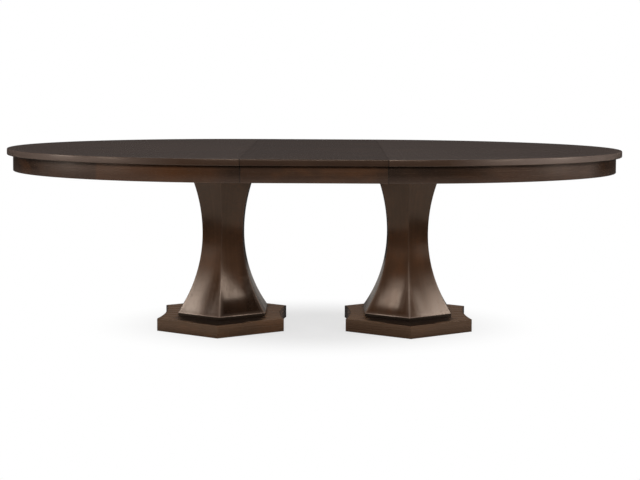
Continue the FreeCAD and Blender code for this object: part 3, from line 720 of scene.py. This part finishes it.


# The apron: its veneer leaves' tones, above 0 warmer and below 0 darker, and its painted sheen, pale and
# grey

VENEER_TONES: dict[Side, Stops] = {
    Side.LEFT: (
        (-90, -87.5, -83.5, -79, -75.5, -72, -69, -60, -56.3, -55.8, -40, 0),
        (-0.35, -0.3, 0.4, 0.45, 0.8, 0.8, 0.55, 0.55, 0.7, -0.05, -0.1, 0),
    ),
    Side.RIGHT: ((-90, -71, -67, -63, -57, -54, -20, 0), (-0.48, -0.42, -0.25, 0.25, 0.2, 0.05, 0.08, 0)),
}
# painted sheen on the apron by angle, pale and grey where the boards would mirror the side lights
VENEER_PAINTED_SHEEN: dict[Side, Stops] = {
    Side.LEFT: ((-75, -68, -58, -52, -44, -36, -30), (0.0, 0.35, 0.75, 0.8, 0.7, 0.4, 0.0)),
    Side.RIGHT: ((-72, -66, -56, -45, -35, -30, -27), (0.0, 0.2, 0.7, 1.1, 1.4, 0.3, 0.0)),
}


@dataclass
class Apron:
    """Bent apron boards under the two halves and straight ones under the leaf."""

    top: Top
    depth: float = 67 * MM
    thickness: float = 22 * MM
    inset: float = 25 * MM
    ease: float = 2 * MM
    end_ease: float = 0.8 * MM
    end_stain: float = 3 * MM
    half_grain: float = 3.1
    leaf_grain: float = 7.3
    leaf_tones: Stops = ((-0.28, 0.0, 0.1, 0.2, 0.28), (0.1, 0.12, 0.15, 0.0, -0.15))
    steps: int = 220
    leaf_steps: int = 24

    def section(self) -> np.ndarray:
        """Closed section as (setback from the outer face, height), with its lower edges eased."""
        high = self.top.height - self.top.thickness
        low = high - self.depth
        front = rounding(self.ease, 4) + (0.0, low)
        back = front[::-1] * (-1, 1) + (self.thickness, 0)
        upper = np.array([[self.thickness, high], [0.0, high], [0.0, high - self.depth / 2]])
        return np.concatenate([front, back, upper])

    def shell(self, rings: np.ndarray, along: np.ndarray, tone: np.ndarray, painted_sheen: np.ndarray) -> Loft:
        """Charted shell with the grain along the path.

        Args:
            rings: the section at each place on the path.
            along: length along the path.
            tone: veneer tone at each place.
            painted_sheen: painted sheen, how pale and grey the veneer is at each place.

        Returns:
            The shell.
        """
        section = self.section()
        round_it = closed_arc(section)
        chart = np.stack(np.broadcast_arrays(along[:, None], round_it[None, :]), axis=2)
        low = self.top.height - self.top.thickness - self.depth
        outer = section[:, 0] < self.thickness / 2
        worn = np.exp(-(((section[:, 1] - low) / (2 * self.ease)) ** 2)) * outer
        # wear of the lower edges, or the painted sheen where that is more
        wear_and_sheen = np.maximum(worn[None, :], painted_sheen[:, None])
        return Loft(rings, chart, wear_and_sheen, np.broadcast_to(tone[:, None], rings.shape[:2]))

    def stations(self, reach: float, radius: float, steps: int) -> np.ndarray:
        """Places from -reach to reach along a path of a radius, with more for the ends' ease and stain."""
        ends = reach - np.array([self.end_ease, self.end_stain]) / radius
        return np.sort(np.concatenate([np.linspace(-reach, reach, steps), ends, -ends]))

    def setback(self, count: int) -> np.ndarray:
        """Setback of the section's points at each place, with the outer face drawn in at both ends."""
        flat = self.section()[:, 0]
        drawn = np.zeros((count, 1))
        drawn[[0, -1]] = self.end_ease
        return flat[None, :] + drawn * (flat < self.thickness / 2)

    def ended(self, tone: np.ndarray) -> np.ndarray:
        """Tones along a board with both of its ends stained dark."""
        return np.concatenate([[STAIN_AND_SHADE_TONE] * 2, tone[2:-2], [STAIN_AND_SHADE_TONE] * 2])

    def half(self, side: Side) -> Loft:
        """The section carried round half an ellipse, drawn in by its setback."""
        section = self.section()
        angle = self.stations(math.pi / 2, self.top.half_length, self.steps)[:, None]
        setback = self.setback(len(angle))
        long = self.top.half_length - self.inset - setback
        wide = self.top.half_depth - self.inset - setback
        x = side.value * (self.top.seam + long * np.cos(angle))
        y = wide * np.sin(angle)
        z = np.broadcast_to(section[None, :, 1], x.shape)
        rings = np.stack([x, y, z], axis=2)
        outer = rings[:, -1, :]
        along = np.concatenate([[0.0], np.cumsum(np.linalg.norm(np.diff(outer, axis=0), axis=1))])
        tone = self.ended(self.veneer(VENEER_TONES[side], angle[:, 0]))
        painted_sheen = self.veneer(VENEER_PAINTED_SHEEN[side], angle[:, 0])
        return self.shell(rings, along + side.value * self.half_grain, tone, painted_sheen)

    def veneer(self, stops: Stops, angle: np.ndarray) -> np.ndarray:
        """A number round a half's ellipse, from stops in degrees, -90 at both seams and 0 at the end."""
        return np.interp(-np.abs(np.degrees(angle)), *stops)

    def straight(self, row: Row) -> Loft:
        """The section carried along the leaf."""
        x = self.stations(self.top.leaf_half, 1.0, self.leaf_steps)[:, None]
        y = row.value * (self.top.half_depth - self.inset - self.setback(len(x)))
        shape = np.broadcast_arrays(x, y, self.section()[None, :, 1])
        tone = np.interp(x[:, 0], *self.leaf_tones)
        along = x[:, 0] + self.leaf_grain + row.value
        return self.shell(np.stack(shape, axis=2), along, self.ended(tone), np.zeros_like(tone))

    def build(self) -> None:
        """Make the four boards."""
        for side in Side:
            body, node = f"{side.word}_half", f"apron_{side.word}"
            add_piece(f"apron_board_{side.word}", self.half(side), APRON_FINISH, body, node)
        for row in Row:
            name = f"apron_leaf_{row.word}"
            add_piece(f"leaf_apron_board_{row.word}", self.straight(row), APRON_FINISH, "leaf", name)


# The pedestals


@dataclass
class Pedestal:
    """Column of six staves on its collar and plinth.

    The staves are counted from the one that faces +X. Tones run from -1, darkest, to 1, warm. The
    plinth's ledge has a painted shadow and reflection of the foot, out to a set reach before and behind
    the foot, and painted light beside it.
    """

    side: Side
    spacing: float = 394 * MM
    plinth_low: float = 2.5 * MM
    plinth_high: float = 55 * MM
    plinth_apothem: float = 265 * MM
    plinth_scoop: float = 19.5 * MM
    # painted shade in the plinth's hollows, darkest towards their corners; scoop_wear lightens their middles
    scoop_painted_shade: Stops = ((0.39, 0.52, 0.62, 0.72, 0.84, 0.95), (0.0, -0.1, -0.3, -0.5, -0.75, STAIN_AND_SHADE_TONE))
    scoop_wear: Stops = ((0.4, 0.8), (0.45, 0.0))
    plinth_grain: float = 11.0
    plinth_round: float = 2 * MM
    corner_round: float = 1.5 * MM
    collar_high: float = 69 * MM
    collar_setback: float = 2.5 * MM
    collar_round: float = 0.5 * MM
    collar_grain: float = 17.0
    foot_apothem: float = 184 * MM
    neck_apothem: float = 85.5 * MM
    neck_height: float = 400 * MM
    head_apothem: float = 140 * MM
    head_height: float = 672 * MM
    cavity_apothem: float = 42 * MM
    arris_round: float = 3 * MM
    arris_points: int = 5
    # arrises are worn along their length and, low down, brightened more as a painted highlight
    arris_wear_and_highlight: Stops = ((0.18, 0.30), (1.7, 0.2))
    foot_round: float = 0.8 * MM
    lip_height: float = 3.5 * MM
    lip_slope: float = 25.0
    # the lip's painted highlight: a bright line along the foot's lower edge
    lip_painted_highlight: float = 3.2
    crown: float = 0.011
    seeds: tuple[float, ...] = (0.0, 1.7, 3.1, 4.6, 6.2, 7.9)
    foot_tones: tuple[float, ...] = (0.0,) * HEXAGON
    arris_tones: tuple[float, ...] = (0.0,) * HEXAGON
    deepest_tone: float = -0.78
    foot_fade: tuple[float, float] = (0.09, 0.24)
    band_fade: tuple[float, float] = (0.3, 0.45)
    band_reach: tuple[float, float] = (0.3, 0.95)
    # Rows at seat_gaps carry the ledge's painted shadow and reflection of the foot, and the painted light
    # beside it
    seat_gaps: tuple[float, ...] = (58 * MM, 50 * MM, 12 * MM, 3 * MM)
    seat_scoop: float = 0.02 * MM
    ledge_shade_reach: tuple[float, float] = (90 * MM, 50 * MM)
    ledge_fade: float = 8 * MM
    ledge_painted_light: float = 0.9
    ledge_tones: tuple[float, float] = (-0.85, 0.5)

    @property
    def middle(self) -> float:
        """X of the column's axis."""
        return self.side.value * self.spacing

    def apothem(self, height: np.ndarray) -> np.ndarray:
        """Axis to flats at a height: two arcs that meet upright at the neck, w = n + R - sqrt(R^2 - dz^2).

        Args:
            height: heights above the floor.

        Returns:
            The apothem at each height.
        """
        rise = height - self.neck_height
        low = arc_radius(self.neck_height - self.collar_high, self.foot_apothem - self.neck_apothem)
        high = arc_radius(self.head_height - self.neck_height, self.head_apothem - self.neck_apothem)
        radius = np.where(rise < 0, low, high)
        return self.neck_apothem + radius - np.sqrt(radius**2 - rise**2)

    def column_profile(self) -> np.ndarray:
        """Rows of (apothem, height) from the foot to the head, with a narrow lip under the flare.

        The lip leans in by its slope from its rounded lower edge up to the flare, which it meets at
        the lip's height.
        """
        top = self.collar_high + self.lip_height
        inward = math.tan(math.radians(self.lip_slope))
        join = float(self.apothem(np.array(top)))
        turn = np.linspace(-math.pi / 2, math.radians(self.lip_slope), 5)
        rise = self.foot_round * (1 + np.sin(turn))
        edge = join + self.lip_height * inward - self.foot_round * (1 - np.cos(turn))
        turned = np.stack([edge, self.collar_high + rise], axis=1)
        inside = np.array([[edge[0] - 2 * MM, self.collar_high]])
        lip = np.linspace(turned[-1, 1] + 0.3 * MM, top - 0.4 * MM, 3)
        face = np.stack([join + (top - lip) * inward, lip], axis=1)
        heights = np.concatenate([[top + 0.4 * MM], np.linspace(top + 1.5 * MM, self.head_height, 64)])
        return np.concatenate([inside, turned, face, np.stack([self.apothem(heights), heights], axis=1)])

    def stave(self, number: int) -> Loft:
        """One stave: its face between two half-rounded arrises, its mitres and its inner face.

        The face is crowned across by c (1 - u^2), for u from 1 at one arris to -1 at the other.
        """
        profile = self.column_profile()
        apothem, height = profile[:, :1], profile[:, 1]
        turn = np.radians(np.linspace(30.0, 0.0, self.arris_points))
        inner = apothem - self.arris_round
        right_x = inner + self.arris_round * np.cos(turn)
        right_y = -(inner * TAN30 + self.arris_round * np.sin(turn))
        share = np.linspace(0.95, -0.95, 15)
        flat_x = apothem + self.crown * inner * (1 - share**2)
        flat_y = -inner * TAN30 * share
        cavity = np.full((len(profile), 1), self.cavity_apothem)
        x = np.concatenate([right_x, flat_x, right_x[:, ::-1], cavity, cavity], axis=1)
        y = np.concatenate([right_y, flat_y, -right_y[:, ::-1], cavity * TAN30, -cavity * TAN30], axis=1)
        angle = 2 * math.pi / HEXAGON * number
        rings = np.stack(
            [
                self.middle + x * math.cos(angle) - y * math.sin(angle),
                x * math.sin(angle) + y * math.cos(angle),
                np.broadcast_to(height[:, None], x.shape),
            ],
            axis=2,
        )
        across = np.concatenate([y, y[:, :1]], axis=1) + self.seeds[number] + self.side.value
        up = np.broadcast_to(height[:, None] + self.seeds[number], across.shape)
        wear_and_sheen, tone = self.stave_stain(number, height, share)
        return Loft(rings, np.stack([up, across], axis=2), wear_and_sheen, tone)

    def stave_stain(self, number: int, height: np.ndarray, share: np.ndarray) -> tuple[np.ndarray, ...]:
        """A stave's worn arrises, brighter low down as a painted highlight, the painted highlight on its
        lip, its darker foot and the darker band beside one arris.

        Args:
            number: the stave's number.
            height: heights of its rows.
            share: places across its face, from 1 at one arris to -1 at the other.

        Returns:
            Wear, with the painted highlights, and tone, as (rows, points).
        """
        end = np.ones(self.arris_points)
        arris = np.concatenate([end, 0.25 * (np.abs(share) > 0.9), end, [0, 0]])
        # arrises: worn, and brightened low down as a painted highlight
        rubbed = np.interp(height, *self.arris_wear_and_highlight)
        # painted highlight along the lip
        lip_band = np.exp(-(((height - self.collar_high) / self.lip_height) ** 2))
        wear_and_sheen = np.maximum(arris[None, :] * rubbed[:, None], self.lip_painted_highlight * lip_band[:, None])
        lip = self.collar_high + self.lip_height
        start = (lip, lip + 1 * MM)
        deep = self.foot_tones[number]
        tone = np.interp(height, (*start, *self.foot_fade), (0.0, deep, deep, 0.0))
        across = np.concatenate([-end, -share, end, [0, 0]])
        band = np.interp(across, self.band_reach, (0.0, self.arris_tones[number]))
        low = np.interp(height, (*start, *self.band_fade), (0.0, 1.0, 1.0, 0.2))
        return wear_and_sheen, np.maximum(tone[:, None] + band * low[:, None], self.deepest_tone)

    def hexagon(self, apothem: float, inset: float, scoop: float) -> np.ndarray:
        """Closed six-sided line with rounded corners and, where asked, two hollow sides.

        Args:
            apothem: axis to flats.
            inset: how far the line lies inside that outline.
            scoop: depth of the two hollows, or 0.

        Returns:
            Points (x, y) about the pedestal's axis.
        """
        deep = inset + self.corner_round
        flat = apothem - deep
        tip = flat / COS30
        if scoop:
            side = apothem * TAN30
            radius = arc_radius(side, scoop)
            centre = apothem - scoop + radius
            x0, reach = 2 * flat - centre, (radius + deep) ** 2
            a, b, c = 4.0, -2 * math.sqrt(3) * x0, x0**2 - reach
            root = math.sqrt(b * b - 4 * a * c)
            crossings = [abs((-b + sign * root) / (2 * a)) for sign in (-1, 1)]
            corner_y = min(crossings, key=lambda y: abs(y - side))
            corner = (2 * flat - math.sqrt(3) * corner_y, corner_y)
            end = math.atan2(-corner[1], centre - corner[0])
            hollow = np.linspace(end, -end, 40)[1:-1]
            edge = arc(radius + inset, hollow) * (-1, 1) + (centre, 0.0)
        else:
            corner, end = (flat, flat * TAN30), 0.0
            edge = np.empty((0, 2))
        front = np.radians(np.linspace(-120.0, -60.0, 5))
        halves = np.linspace(0.0, 1.0, 25)[1:-1, None]
        low_turn = np.linspace(math.radians(-60.0), end, 5)
        bottom = arc(self.corner_round, front) + (0.0, -tip)
        lower = arc(self.corner_round, low_turn) + (corner[0], -corner[1])
        lower = np.concatenate([bottom[-1] + (lower[0] - bottom[-1]) * halves, lower])
        upper = lower[::-1] * (1, -1)
        right = np.concatenate([lower, edge, upper])
        return np.concatenate([bottom, right, -bottom, -right])

    def prism(
        self, profile: np.ndarray, apothem: float, scoop: float, seed: float, seat: float = 0.0
    ) -> Loft:
        """Six-sided shell from an edge profile.

        Args:
            profile: rows of (inset, height).
            apothem: axis to flats.
            scoop: depth of the two hollows, or 0.
            seed: where its grain starts.
            seat: apothem of the piece on it, round which the ledge has a painted shadow and reflection, or
                0.

        Returns:
            The shell, with the grain round its sides.
        """
        lines = [self.hexagon(apothem, inset, scoop) for inset in profile[:, 0]]
        heights = profile[:, 1]
        if seat:
            lines += [self.hexagon(seat + gap, 0.0, self.seat_scoop) for gap in self.seat_gaps]
            heights = np.concatenate([heights, np.full(len(self.seat_gaps), heights[-1])])
        flat = np.stack(lines) + (self.middle, 0.0)
        worn = 0.2 * np.exp(-(((heights[-1] - heights) / (1.2 * self.plinth_round)) ** 2))
        wear_and_sheen, tone = np.repeat(worn[:, None], flat.shape[1], axis=1), np.zeros(flat.shape[:2])
        beside, before = np.moveaxis(np.abs(flat - (self.middle, 0.0)), 2, 0)
        if scoop:
            side = apothem * TAN30
            hollow = (beside > apothem - scoop - 5 * MM) & (before < side - 3 * MM)
            # painted shade in the hollows, darkest towards the corners
            tone = np.where(hollow, np.interp(before / side, *self.scoop_painted_shade), tone)
            wear_and_sheen = np.where(hollow, np.interp(before / side, *self.scoop_wear), wear_and_sheen)
        if seat:
            # painted shadow and reflection of the foot on the ledge before and behind it, painted light
            # beside it
            ledge = slice(len(profile) - 1, None)
            gaps = np.array([apothem - profile[-1, 0] - seat, *self.seat_gaps])[:, None]
            deep = np.interp(beside[ledge], (0.3 * seat, seat), self.ledge_shade_reach)
            ledge_lit_share = np.clip((gaps - deep) / self.ledge_fade, 0.0, 1.0)
            past = np.interp(beside[ledge], (seat - 3 * MM, seat + 3 * MM), (0.0, 1.0))
            ledge_lit_share = np.maximum(ledge_lit_share, past)
            wear_and_sheen[ledge] = self.ledge_painted_light * ledge_lit_share
            tone[ledge] = np.interp(ledge_lit_share, (0.0, 1.0), self.ledge_tones)
        rim = closed_arc(flat[len(profile) // 2]) + seed
        chart = np.stack(np.broadcast_arrays(rim[None, :], heights[:, None]), axis=2)
        inset = np.concatenate([profile[:, 0], np.full(len(lines) - len(profile), apothem)])
        return Loft(raised(flat, heights), chart, wear_and_sheen, tone, facing_rows(inset, self.plinth_round))

    def build(self) -> None:
        """Make the plinth, the collar and the six staves."""
        word = self.side.word
        plinth = edge_profile(self.plinth_low, self.plinth_high, 1 * MM, self.plinth_round)[:-1]
        seed = self.plinth_grain + self.side.value
        shell = self.prism(plinth, self.plinth_apothem, self.plinth_scoop, seed, self.foot_apothem)
        add_piece(f"plinth_block_{word}", shell, PLINTH_FINISH, "base", f"plinth_{word}")
        collar = edge_profile(self.plinth_high, self.collar_high, self.collar_round, self.collar_round, 3)
        seed = self.collar_grain + self.side.value
        shell = self.prism(collar, self.foot_apothem - self.collar_setback, 0.0, seed)
        add_piece(f"collar_band_{word}", shell, COLLAR_FINISH, "base", f"collar_{word}")
        for number in range(HEXAGON):
            node = f"column_{word}_stave_{number + 1}"
            add_piece(f"{node}_face", self.stave(number), COLUMN_FINISHES[self.side], "base", node)


# How much darker each stave's foot is, and the band beside one of its arrises

FOOT_TONES = {
    Side.LEFT: (-0.3, -0.1, -0.3, -0.1, -0.45, -0.75),
    Side.RIGHT: (-0.3, -0.1, -0.2, -0.1, -0.2, -0.1),
}
ARRIS_TONES = {
    Side.LEFT: (-0.5, 0.0, 0.0, 0.0, 0.0, -0.6),
    Side.RIGHT: (0.0,) * HEXAGON,
}


# Hidden pieces, which keep their CAD shapes


@dataclass
class Undercarriage:
    """Runners, slides, bearers, racks, latches, rods, screws and glides.

    The last finish whose starts fit a node's name is the node's own.
    """

    nodes: dict[str, bpy.types.Object]
    finishes: tuple[tuple[tuple[str, ...], Finish], ...] = (
        (("runner_", "slide_", "rack_"), BEECH_LONG),
        (("bearer_", "gear_crossbar", "rack_batten", "leaf_battens", "glue_blocks"), BEECH_CROSS),
        (("tie_", "bearer_screws", "slide_screws", "latch_", "leaf_keepers", "pinion_axle"), ZINC),
        (("floor_glides", "equalizer_pinion"), NYLON),
    )

    def dress(self) -> None:
        """Give each carried-over node its finish."""
        for name, node in self.nodes.items():
            chosen = [finish for starts, finish in self.finishes if name.startswith(starts)]
            if not chosen:
                continue
            node.data.materials.clear()
            node.data.materials.append(material_of(chosen[-1]))
            LOG.info("%s: %s", name, chosen[-1].name)


# The studio


@dataclass(frozen=True)
class Lamp:
    """A soft rectangular lamp that hangs at a place and points at a target.

    fade is the share of its height over which it grows from dark at its lower edge, or 0 for an even
    lamp, and roll turns it about its own axis, in degrees. Its power is in watts, before it fades.
    """

    name: str
    place: Place
    target: Place
    size: tuple[float, float]
    power: float
    fade: float = 0.0
    roll: float = 0.0
    side_fade: float = 0.2

    def build(self) -> None:
        """Hang the lamp."""
        data = bpy.data.lights.new(self.name, "AREA")
        data.shape = "RECTANGLE"
        data.size, data.size_y = self.size
        data.energy = self.power
        if self.fade:
            data.use_nodes = True
            graph = Graph(data.node_tree)
            spot = graph.node("ShaderNodeNewGeometry").outputs["Parametric"]
            across, up = graph.part(spot, "X"), graph.part(spot, "Y")
            sides = across.step(0.0, self.side_fade) * (1 - across).step(0.0, self.side_fade)
            shine = graph.node("ShaderNodeEmission", None, {"Strength": up.step(0.0, self.fade) * sides})
            graph.node("ShaderNodeOutputLight", None, {"Surface": shine.outputs[0]})
        lamp = placed(self.name, data)
        lamp.location = self.place
        aim = (Vector(self.target) - Vector(self.place)).to_track_quat("-Z", "Y")
        lamp.rotation_euler = (aim @ Quaternion((0.0, 0.0, 1.0), math.radians(self.roll))).to_euler()


LAMPS = (
    Lamp("side_box_left", (-3.72, -1.18, 1.15), (-0.5, -0.1, 0.12), (0.9, 2.0), 51.0, 1.0, 17.0),
    Lamp("side_box_right", (3.7, -1.3, 1.2), (0.5, -0.1, 0.12), (0.9, 2.1), 52.0, 1.0, -14.0),
    Lamp("front_box_left", (-2.39, -1.88, 1.1), (0.33, -0.1, 0.15), (0.32, 1.5), 12.2, 0.75, 15.0),
    Lamp("front_box_right", (2.24, -2.13, 1.09), (-0.36, -0.12, 0.17), (0.3, 1.44), 10.3, 0.7, -26.0),
    Lamp("side_wall_left", (-3.25, -1.0, 0.5), (-0.5, -1.0, 0.5), (1.7, 0.4), 0.5),
    Lamp("side_wall_right", (3.25, -0.7, 0.5), (0.5, -0.7, 0.5), (2.1, 0.4), 0.6),
    Lamp("key", (0.0, -6.2, 3.3), (0.0, 0.0, 0.4), (3.2, 1.4), 270.0),
    Lamp("overhead", (0.0, 0.6, 4.4), (0.0, 0.0, 0.0), (3.4, 2.2), 14.0),
    Lamp("back_fill", (0.0, 4.2, 4.6), (0.0, 0.0, 0.3), (4.0, 2.0), 40.0),
)


@dataclass
class Studio:
    """Pale floor, soft lamps and the photograph's camera.

    The floor's zones are reaches from the middle of the table, in metres, along an oval. For rays off
    gloss the floor glows in a front and a back zone and is dusky elsewhere.
    """

    floor_half: float = 60.0
    focal_px: float = 1282.785
    frame_px: tuple[int, int] = (640, 480)
    shift_px: tuple[float, float] = (27.8, -100.0)
    eye: Place = (0.050986, -5.475360, 1.101754)
    pitch: float = 0.0556
    yaw: float = -0.01554
    roll: float = 0.00613
    gloss_share: float = 0.035
    dim: float = 0.035
    sky_glow: Colour = (1.26, 1.1, 1.05)
    floor_glow: tuple[float, ...] = (1.0, 0.91, 0.83, 1.0)
    oval: Place = (0.65, 1.0, 1.0)
    paper_zone: tuple[float, float] = (1.2, 2.0)
    shadow_zone: tuple[float, float] = (0.2, 0.65)
    shadow_share: float = 0.36
    front_zone: Stops = ((0.35, 0.6), (1.4, 1.65))
    front_glow: float = 0.8
    back_zone: Stops = ((0.8, 1.1), (1.8, 2.2))
    back_glow: float = 0.27
    back_from: tuple[float, float] = (-0.15, 0.1)
    dusk: float = 0.05
    dusk_share: float = 0.85

    def camera(self) -> None:
        """Set the camera where the photograph was taken from.

        The view runs along (-sin y cos p, cos y cos p, -sin p) for a yaw y and a pitch p, and the
        roll turns the picture about it.
        """
        data = bpy.data.cameras.new("camera")
        data.sensor_width = 36.0
        data.lens = self.focal_px * data.sensor_width / self.frame_px[0]
        data.shift_x = -self.shift_px[0] / self.frame_px[0]
        data.shift_y = self.shift_px[1] / self.frame_px[0]
        data.clip_end = 200.0
        turn = Matrix.Rotation(self.yaw, 4, "Z") @ Matrix.Rotation(math.pi / 2 - self.pitch, 4, "X")
        camera = placed("camera", data)
        camera.matrix_world = Matrix.Translation(self.eye) @ turn @ Matrix.Rotation(self.roll, 4, "Z")
        bpy.context.scene.camera = camera

    def seen_white(self, graph: Graph) -> Value:
        """1 for rays from the camera or through glass, a share for rays off gloss, 0 for plain light."""
        seen = graph.ray("Camera").most(graph.ray("Transmission"))
        return seen.most(graph.ray("Glossy") * self.gloss_share)

    def floor(self) -> None:
        """A wide pale floor that keeps soft shadows."""
        mesh = bpy.data.meshes.new("floor")
        h = self.floor_half
        mesh.from_pydata([(-h, -h, 0), (h, -h, 0), (h, h, 0), (-h, h, 0)], [], [(0, 1, 2, 3)])
        floor = placed("floor", mesh)
        material, graph = new_material("pale_floor")
        oval = graph.node("ShaderNodeMapping", None, {"Vector": graph.place(), "Scale": self.oval})
        length = graph.node("ShaderNodeVectorMath", {"operation": "LENGTH"}, {0: oval.outputs[0]})
        reach = Value(graph, length.outputs["Value"])
        colour = graph.blend((0.9, 0.9, 0.9), (0.1, 0.1, 0.1), reach.step(*self.paper_zone))
        paper = graph.node("ShaderNodeBsdfDiffuse", None, {"Color": colour})
        white = graph.node("ShaderNodeEmission", None, {"Color": (1.0, 1.0, 1.0, 1.0), "Strength": 1.0})
        share = (1 - self.shadow_share) + reach.step(*self.shadow_zone) * self.shadow_share
        sockets = {0: self.seen_white(graph) * share, 1: paper.outputs[0], 2: white.outputs[0]}
        plain = graph.node("ShaderNodeMixShader", None, sockets)
        back = graph.part(graph.place(), "Y").step(*self.back_from)
        glow = reach.zone(*self.front_zone) * (1 - back) * self.front_glow
        glow = glow + reach.zone(*self.back_zone) * back * self.back_glow
        sockets = {"Color": self.floor_glow, "Strength": self.dusk + glow}
        dusk = graph.node("ShaderNodeEmission", None, sockets)
        sockets = {0: graph.ray("Glossy") * self.dusk_share, 1: plain.outputs[0], 2: dusk.outputs[0]}
        graph.surface(graph.node("ShaderNodeMixShader", None, sockets).outputs[0])
        mesh.materials.append(material)

    def world(self) -> None:
        """White behind everything, and a dimmer even light from all round, warmer for rays off gloss."""
        world = bpy.data.worlds.new("studio")
        world.use_nodes = True
        graph = Graph(world.node_tree)
        strength = self.dim + self.seen_white(graph) * (1 - self.dim)
        colour = graph.blend((1.0, 1.0, 1.0), self.sky_glow, graph.ray("Glossy"))
        sky = graph.node("ShaderNodeBackground", None, {"Color": colour, "Strength": strength})
        graph.node("ShaderNodeOutputWorld", None, {"Surface": sky.outputs[0]})
        bpy.context.scene.world = world

    def build(self) -> None:
        """Camera, floor, backdrop and lamps."""
        bpy.context.scene.view_settings.view_transform = "Standard"
        self.camera()
        self.floor()
        self.world()
        for lamp in LAMPS:
            lamp.build()


def main() -> None:
    """Load the frame, dress it and set up the studio."""
    logging.basicConfig(level=logging.INFO, format="%(name)s: %(message)s")
    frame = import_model()
    top = Top()
    top.build()
    Apron(top).build()
    for side in Side:
        Pedestal(side, foot_tones=FOOT_TONES[side], arris_tones=ARRIS_TONES[side]).build()
    Undercarriage(frame["nodes"]).dress()
    Studio().build()


if __name__ == "__main__":
    main()
